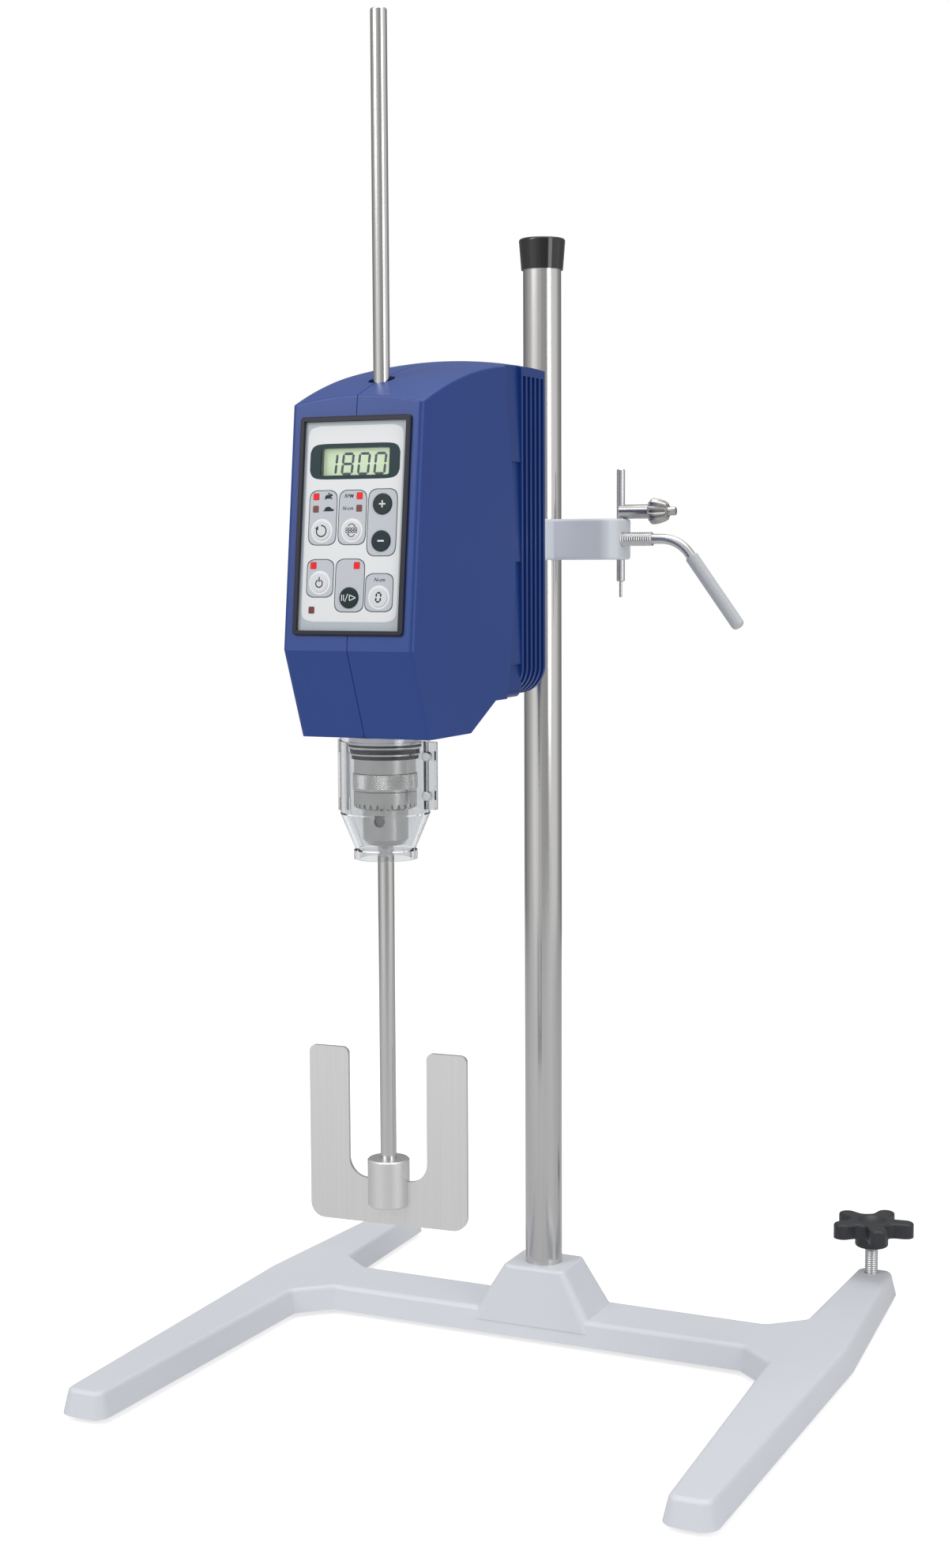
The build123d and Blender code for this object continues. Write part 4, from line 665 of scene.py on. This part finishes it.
def lever_with_thread():
    """The clamp's screw and bent lever in one bar, its thread cut where the clamp leaves it open."""
    thread = thread_bar(LEVER_THREAD_START, LEVER_THREAD_END, LEVER_CREST, LEVER_ROOT)
    thread.matrix_world = Matrix.Translation((0, ROD_Y, LEVER_AXIS_Z * MM)) @ Matrix.Rotation(pi / 2, 4, "Y")
    apply_place(thread)
    # bent bar: a round section drawn along X, spun round the bend and drawn on to its end
    setback = LEVER_BEND * tan(LEVER_DROOP / 2)
    bpy.ops.object.select_all(action="DESELECT")
    bpy.ops.mesh.primitive_circle_add(vertices=32, radius=LEVER_RADIUS * MM, fill_type="NGON",
                                      rotation=(0, pi / 2, 0),
                                      location=(LEVER_BAR_START * MM, ROD_Y, LEVER_AXIS_Z * MM))
    bar = bpy.context.object
    bpy.ops.object.transform_apply(location=True, rotation=True, scale=True)
    bpy.ops.object.mode_set(mode="EDIT")
    bpy.ops.mesh.select_all(action="SELECT")
    straight = LEVER_CORNER - setback - LEVER_BAR_START
    bpy.ops.mesh.extrude_region_move(TRANSFORM_OT_translate={"value": (straight * MM, 0, 0)})
    bpy.ops.mesh.spin(steps=14, angle=-LEVER_DROOP, axis=(0, 1, 0),
                      center=((LEVER_CORNER - setback) * MM, ROD_Y, (LEVER_AXIS_Z - LEVER_BEND) * MM))
    run = LEVER_SLOPE_LENGTH - setback
    bpy.ops.mesh.extrude_region_move(TRANSFORM_OT_translate={
        "value": (cos(LEVER_DROOP) * run * MM, 0, -sin(LEVER_DROOP) * run * MM)})
    bpy.ops.object.mode_set(mode="OBJECT")
    lever = join_pieces([bar, thread])
    finish_piece(lever, "lever_with_thread", LEVER_SATIN, "lever")
    smooth(lever)
    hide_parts("clamp_lever")


def smooth(piece, angle=35):
    """Smooth shading, with edges sharper than the angle kept crisp."""
    select_only(piece)
    bpy.ops.object.shade_smooth_by_angle(angle=radians(angle))


KEY_AXIS = Vector((51.8, 59.21, 566.75))
KEY_TEETH, POINTS_PER_TOOTH = 11, 8
# along the chuck key's axis: distance from its bar, radius, and depth of the grooves between the teeth
KEY_RINGS = ((0, 4.7, 0), (20.9, 4.7, 0), (21.0, 7.0, 0.9), (22.0, 8.3, 1.9), (23.6, 8.7, 2.2), (27.5, 8.2, 2.2),
             (31.0, 7.1, 2.0), (33.0, 5.9, 1.4), (33.4, 4.4, 0.5), (33.5, 2.85, 0), (38.2, 2.85, 0),
             (38.8, 2.5, 0), (39.0, 1.9, 0))


def key_with_teeth():
    """Shank, rounded teeth and pilot of the chuck key."""
    bpy.ops.object.select_all(action="DESELECT")
    bpy.ops.mesh.primitive_circle_add(vertices=POINTS_PER_TOOTH * KEY_TEETH, radius=MM, fill_type="NGON",
                                      rotation=(0, pi / 2, 0), location=KEY_AXIS * MM)
    key = bpy.context.object
    bpy.ops.object.transform_apply(location=True, rotation=True, scale=True)
    bpy.ops.object.mode_set(mode="EDIT")
    bpy.ops.mesh.select_all(action="SELECT")
    for ring, following in zip(KEY_RINGS, KEY_RINGS[1:]):
        bpy.ops.mesh.extrude_region_move(TRANSFORM_OT_translate={"value": ((following[0] - ring[0]) * MM, 0, 0)})
    bpy.ops.object.mode_set(mode="OBJECT")
    centre = KEY_AXIS * MM
    for vertex in key.data.vertices:
        across, up = vertex.co.y - centre.y, vertex.co.z - centre.z
        reach = vertex.co.x / MM - KEY_AXIS.x
        _, radius, groove = min(KEY_RINGS, key=lambda ring: abs(ring[0] - reach))
        hollow = 0.5 - 0.5 * cos(atan2(up, across) * KEY_TEETH)
        grow = radius - groove * hollow**2
        vertex.co.y, vertex.co.z = centre.y + across * grow, centre.z + up * grow
    finish_piece(key, "key_with_teeth", MATERIALS[SLOTS["key_pinion"]], "chuck_key")
    smooth(key)
    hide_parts("key_pinion")


KNURL_TEETH, KNURL_ROWS = 132, 12
KNURL_LOW, KNURL_HIGH, KNURL_RADIUS, KNURL_HEIGHT, KNURL_WALL = 403.6, 412.3, 18.42, 0.32, 0.3


def knurled_band():
    """The diamond-knurled grip of the chuck sleeve."""
    row_height = (KNURL_HIGH - KNURL_LOW) / KNURL_ROWS
    bpy.ops.object.select_all(action="DESELECT")
    bpy.ops.mesh.primitive_circle_add(vertices=KNURL_TEETH, radius=KNURL_RADIUS * MM,
                                      location=(0, SHAFT_Y, KNURL_LOW * MM))
    band = bpy.context.object
    bpy.ops.object.mode_set(mode="EDIT")
    bpy.ops.mesh.select_all(action="SELECT")
    for _ in range(KNURL_ROWS):
        bpy.ops.mesh.extrude_region_move(TRANSFORM_OT_translate={"value": (0, 0, row_height * MM)})
    bpy.ops.object.mode_set(mode="OBJECT")
    bpy.ops.object.transform_apply(location=True, rotation=True, scale=True)
    for vertex in band.data.vertices:
        across, along = vertex.co.x, vertex.co.y - SHAFT_Y
        tooth = round(atan2(along, across) / (2 * pi) * KNURL_TEETH)
        row = round((vertex.co.z / MM - KNURL_LOW) / row_height)
        if (tooth + row) % 2 == 0 and 0 < row < KNURL_ROWS:
            grow = (KNURL_RADIUS + KNURL_HEIGHT) / KNURL_RADIUS
            vertex.co.x, vertex.co.y = across * grow, SHAFT_Y + along * grow
    bpy.ops.object.mode_set(mode="EDIT")
    bpy.ops.mesh.select_all(action="SELECT")
    bpy.ops.mesh.quads_convert_to_tris(quad_method="SHORTEST_DIAGONAL")
    bpy.ops.object.mode_set(mode="OBJECT")
    solid = band.modifiers.new("wall", "SOLIDIFY")
    solid.thickness = KNURL_WALL * MM
    solid.offset = -1
    bpy.ops.object.modifier_apply(modifier=solid.name)
    finish_piece(band, "sleeve_knurling", MATERIALS["chuck_steel"], "sleeve")


def turned_band(name, outer, inner, low, high, material, body):
    """A thin ring round the stirring axis."""
    bpy.ops.object.select_all(action="DESELECT")
    bpy.ops.mesh.primitive_cylinder_add(vertices=96, radius=outer * MM, depth=(high - low) * MM,
                                        end_fill_type="NOTHING", location=(0, SHAFT_Y, (low + high) / 2 * MM))
    band = bpy.context.object
    wall = band.modifiers.new("wall", "SOLIDIFY")
    wall.thickness = (outer - inner) * MM
    wall.offset = -1
    bpy.ops.object.modifier_apply(modifier=wall.name)
    smooth(finish_piece(band, name, MATERIALS[material], body))


KEY_HOLE_TURNS = (41, 161, 281)   # bearings of the holes, in degrees
KEY_HOLE_LEVEL, KEY_HOLE_RADIUS = 385.3, 3.15
HOLE_FLOOR_REACH, HOLE_FLOOR_DEPTH = 10.4, 0.4


def key_hole_shade_discs():
    """Dark discs inside the three key holes: painted shade deep in each hole."""
    floors = []
    for turn in KEY_HOLE_TURNS:
        outward = Vector((cos(radians(turn)), sin(radians(turn)), 0))
        bpy.ops.object.select_all(action="DESELECT")
        bpy.ops.mesh.primitive_cylinder_add(vertices=40, radius=KEY_HOLE_RADIUS * MM, depth=HOLE_FLOOR_DEPTH * MM)
        floor = bpy.context.object
        spot = Vector((0, SHAFT_Y, KEY_HOLE_LEVEL * MM)) + outward * HOLE_FLOOR_REACH * MM
        floor.matrix_world = Matrix.Translation(spot) @ outward.to_track_quat("Z", "Y").to_matrix().to_4x4()
        floors.append(floor)
    for floor in floors:
        apply_place(floor)
    # the darker jaw steel on these discs is painted shade, not a colour of the holes
    finish_piece(join_pieces(floors), "key_hole_shade_discs", MATERIALS["jaw_steel"], "spindle_drive")


levelling_thread()
lever_with_thread()
key_with_teeth()
knurled_band()
key_hole_shade_discs()
# a thin black skin on the spindle hub: painted shade, not rubber
turned_band("spindle_hub_shade_band", 19.56, 19.45, 421.1, 423.3, "black_rubber", "spindle_drive")
# a thin black skin in the collar's groove: painted shade in the groove, not rubber
turned_band("collar_groove_shade_band", 21.33, 21.2, 428.2, 429.6, "black_rubber", "head")
turned_band("sleeve_bright_band", 18.62, 18.3, 402.8, 403.5, "bright_stainless", "sleeve")

# ---------------------------------------------------------------- stage and light
def add_lamp(name, spot, target, size, power):
    """A square soft box that looks at a point."""
    lamp = bpy.data.lights.new(name, "AREA")
    lamp.shape = "RECTANGLE"
    lamp.size, lamp.size_y = size
    lamp.energy = power
    holder = bpy.data.objects.new(name, lamp)
    bpy.context.collection.objects.link(holder)
    aim = Vector(target) - Vector(spot)
    holder.matrix_world = Matrix.Translation(Vector(spot)) @ aim.to_track_quat("-Z", "Y").to_matrix().to_4x4()


SOFT_LEVEL = 0.45             # brightness of the surround on matt surfaces
OVERHEAD_LEVEL = 0.75         # brightness straight up, in polished metal
FLOOR_SIZE, FLOOR_LEVEL = 3.2, -0.0005
FLOOR_GLOW = 0.7              # lifts the floor to white for the eye alone

# what polished metal mirrors: soft boxes at both sides, a dimmer room between and behind them
MIRRORED_ROOM = ((0.0, 0.2), (0.11, 0.22), (0.18, 0.36), (0.27, 0.6), (0.34, 1.0), (0.4, 0.85), (0.5, 0.44),
                 (0.58, 0.36), (0.64, 0.76), (0.68, 0.9), (0.76, 0.8), (0.8, 0.45), (0.86, 0.25), (1.0, 0.2))


def mirrored_level(tree):
    """Brightness of the room in a mirrored direction, counted round from the camera's back."""
    place = tree.nodes.new("ShaderNodeTexCoord")
    parts = []
    for axis in ((sin(CAMERA_AZIMUTH), -cos(CAMERA_AZIMUTH), 0), (cos(CAMERA_AZIMUTH), sin(CAMERA_AZIMUTH), 0),
                 (0, 0, 1)):
        share = tree.nodes.new("ShaderNodeVectorMath")
        share.operation = "DOT_PRODUCT"
        tree.links.new(place.outputs["Generated"], share.inputs[0])
        share.inputs[1].default_value = axis
        parts.append(share.outputs["Value"])
    towards, aside, upward = parts
    bearing = math_node(tree, "ARCTAN2", aside, towards)
    turned = math_node(tree, "MULTIPLY_ADD", bearing, 1 / (2 * pi))
    turned.node.inputs[2].default_value = 0.5
    ramp = tree.nodes.new("ShaderNodeValToRGB")
    ramp.color_ramp.interpolation = "EASE"
    points = ramp.color_ramp.elements
    while len(points) < len(MIRRORED_ROOM):
        points.new(0.5)
    for point, (position, level) in zip(points, MIRRORED_ROOM):
        point.position = position
        point.color = (level, level, level, 1)
    tree.links.new(turned, ramp.inputs["Fac"])
    overhead = math_node(tree, "MULTIPLY", upward, OVERHEAD_LEVEL, clamp=True)
    return math_node(tree, "MAXIMUM", ramp.outputs["Color"], overhead)


def light_studio():
    """A white surround for the eye, a soft level on the object and a room for its metal to mirror."""
    world = bpy.data.worlds.new("studio_surround")
    bpy.context.scene.world = world
    world.use_nodes = True
    tree = world.node_tree
    backdrop = tree.nodes["Background"]
    seen = tree.nodes.new("ShaderNodeLightPath")
    direct = math_node(tree, "MAXIMUM", seen.outputs["Is Camera Ray"], seen.outputs["Is Transmission Ray"])
    reflected = math_node(tree, "MULTIPLY", seen.outputs["Is Glossy Ray"], mirrored_level(tree))
    soft = math_node(tree, "MULTIPLY", seen.outputs["Is Diffuse Ray"], SOFT_LEVEL)
    level = math_node(tree, "MAXIMUM", math_node(tree, "MAXIMUM", direct, reflected), soft)
    backdrop.inputs["Color"].default_value = (1, 1, 1, 1)
    tree.links.new(level, backdrop.inputs["Strength"])
    add_lamp("key_box", (-1.1, -1.9, 1.9), (0, -0.1, 0.45), (1.2, 1.6), 26)
    add_lamp("side_box", (2.0, -0.9, 1.1), (0, -0.1, 0.45), (0.8, 1.8), 12)
    add_lamp("top_box", (0.2, 0.1, 2.4), (0, 0, 0.3), (1.6, 1.6), 17)


def add_floor():
    """A pale floor that keeps the soft shadow and is lifted to white for the eye."""
    bpy.ops.mesh.primitive_plane_add(size=FLOOR_SIZE, location=(0, 0, FLOOR_LEVEL))
    floor = bpy.context.object
    floor.name = "pale_floor"
    material = bpy.data.materials.new("pale_floor")
    material.use_nodes = True
    tree = material.node_tree
    principled = tree.nodes["Principled BSDF"]
    principled.inputs["Base Color"].default_value = (0.66, 0.66, 0.67, 1)
    principled.inputs["Roughness"].default_value = 0.8
    seen = tree.nodes.new("ShaderNodeLightPath")
    direct = math_node(tree, "MAXIMUM", seen.outputs["Is Camera Ray"], seen.outputs["Is Transmission Ray"])
    level = math_node(tree, "MULTIPLY", direct, FLOOR_GLOW)
    principled.inputs["Emission Color"].default_value = (1, 1, 1, 1)
    tree.links.new(level, principled.inputs["Emission Strength"])
    floor.data.materials.append(material)


add_floor()
light_studio()
bpy.context.scene.view_settings.view_transform = "Standard"
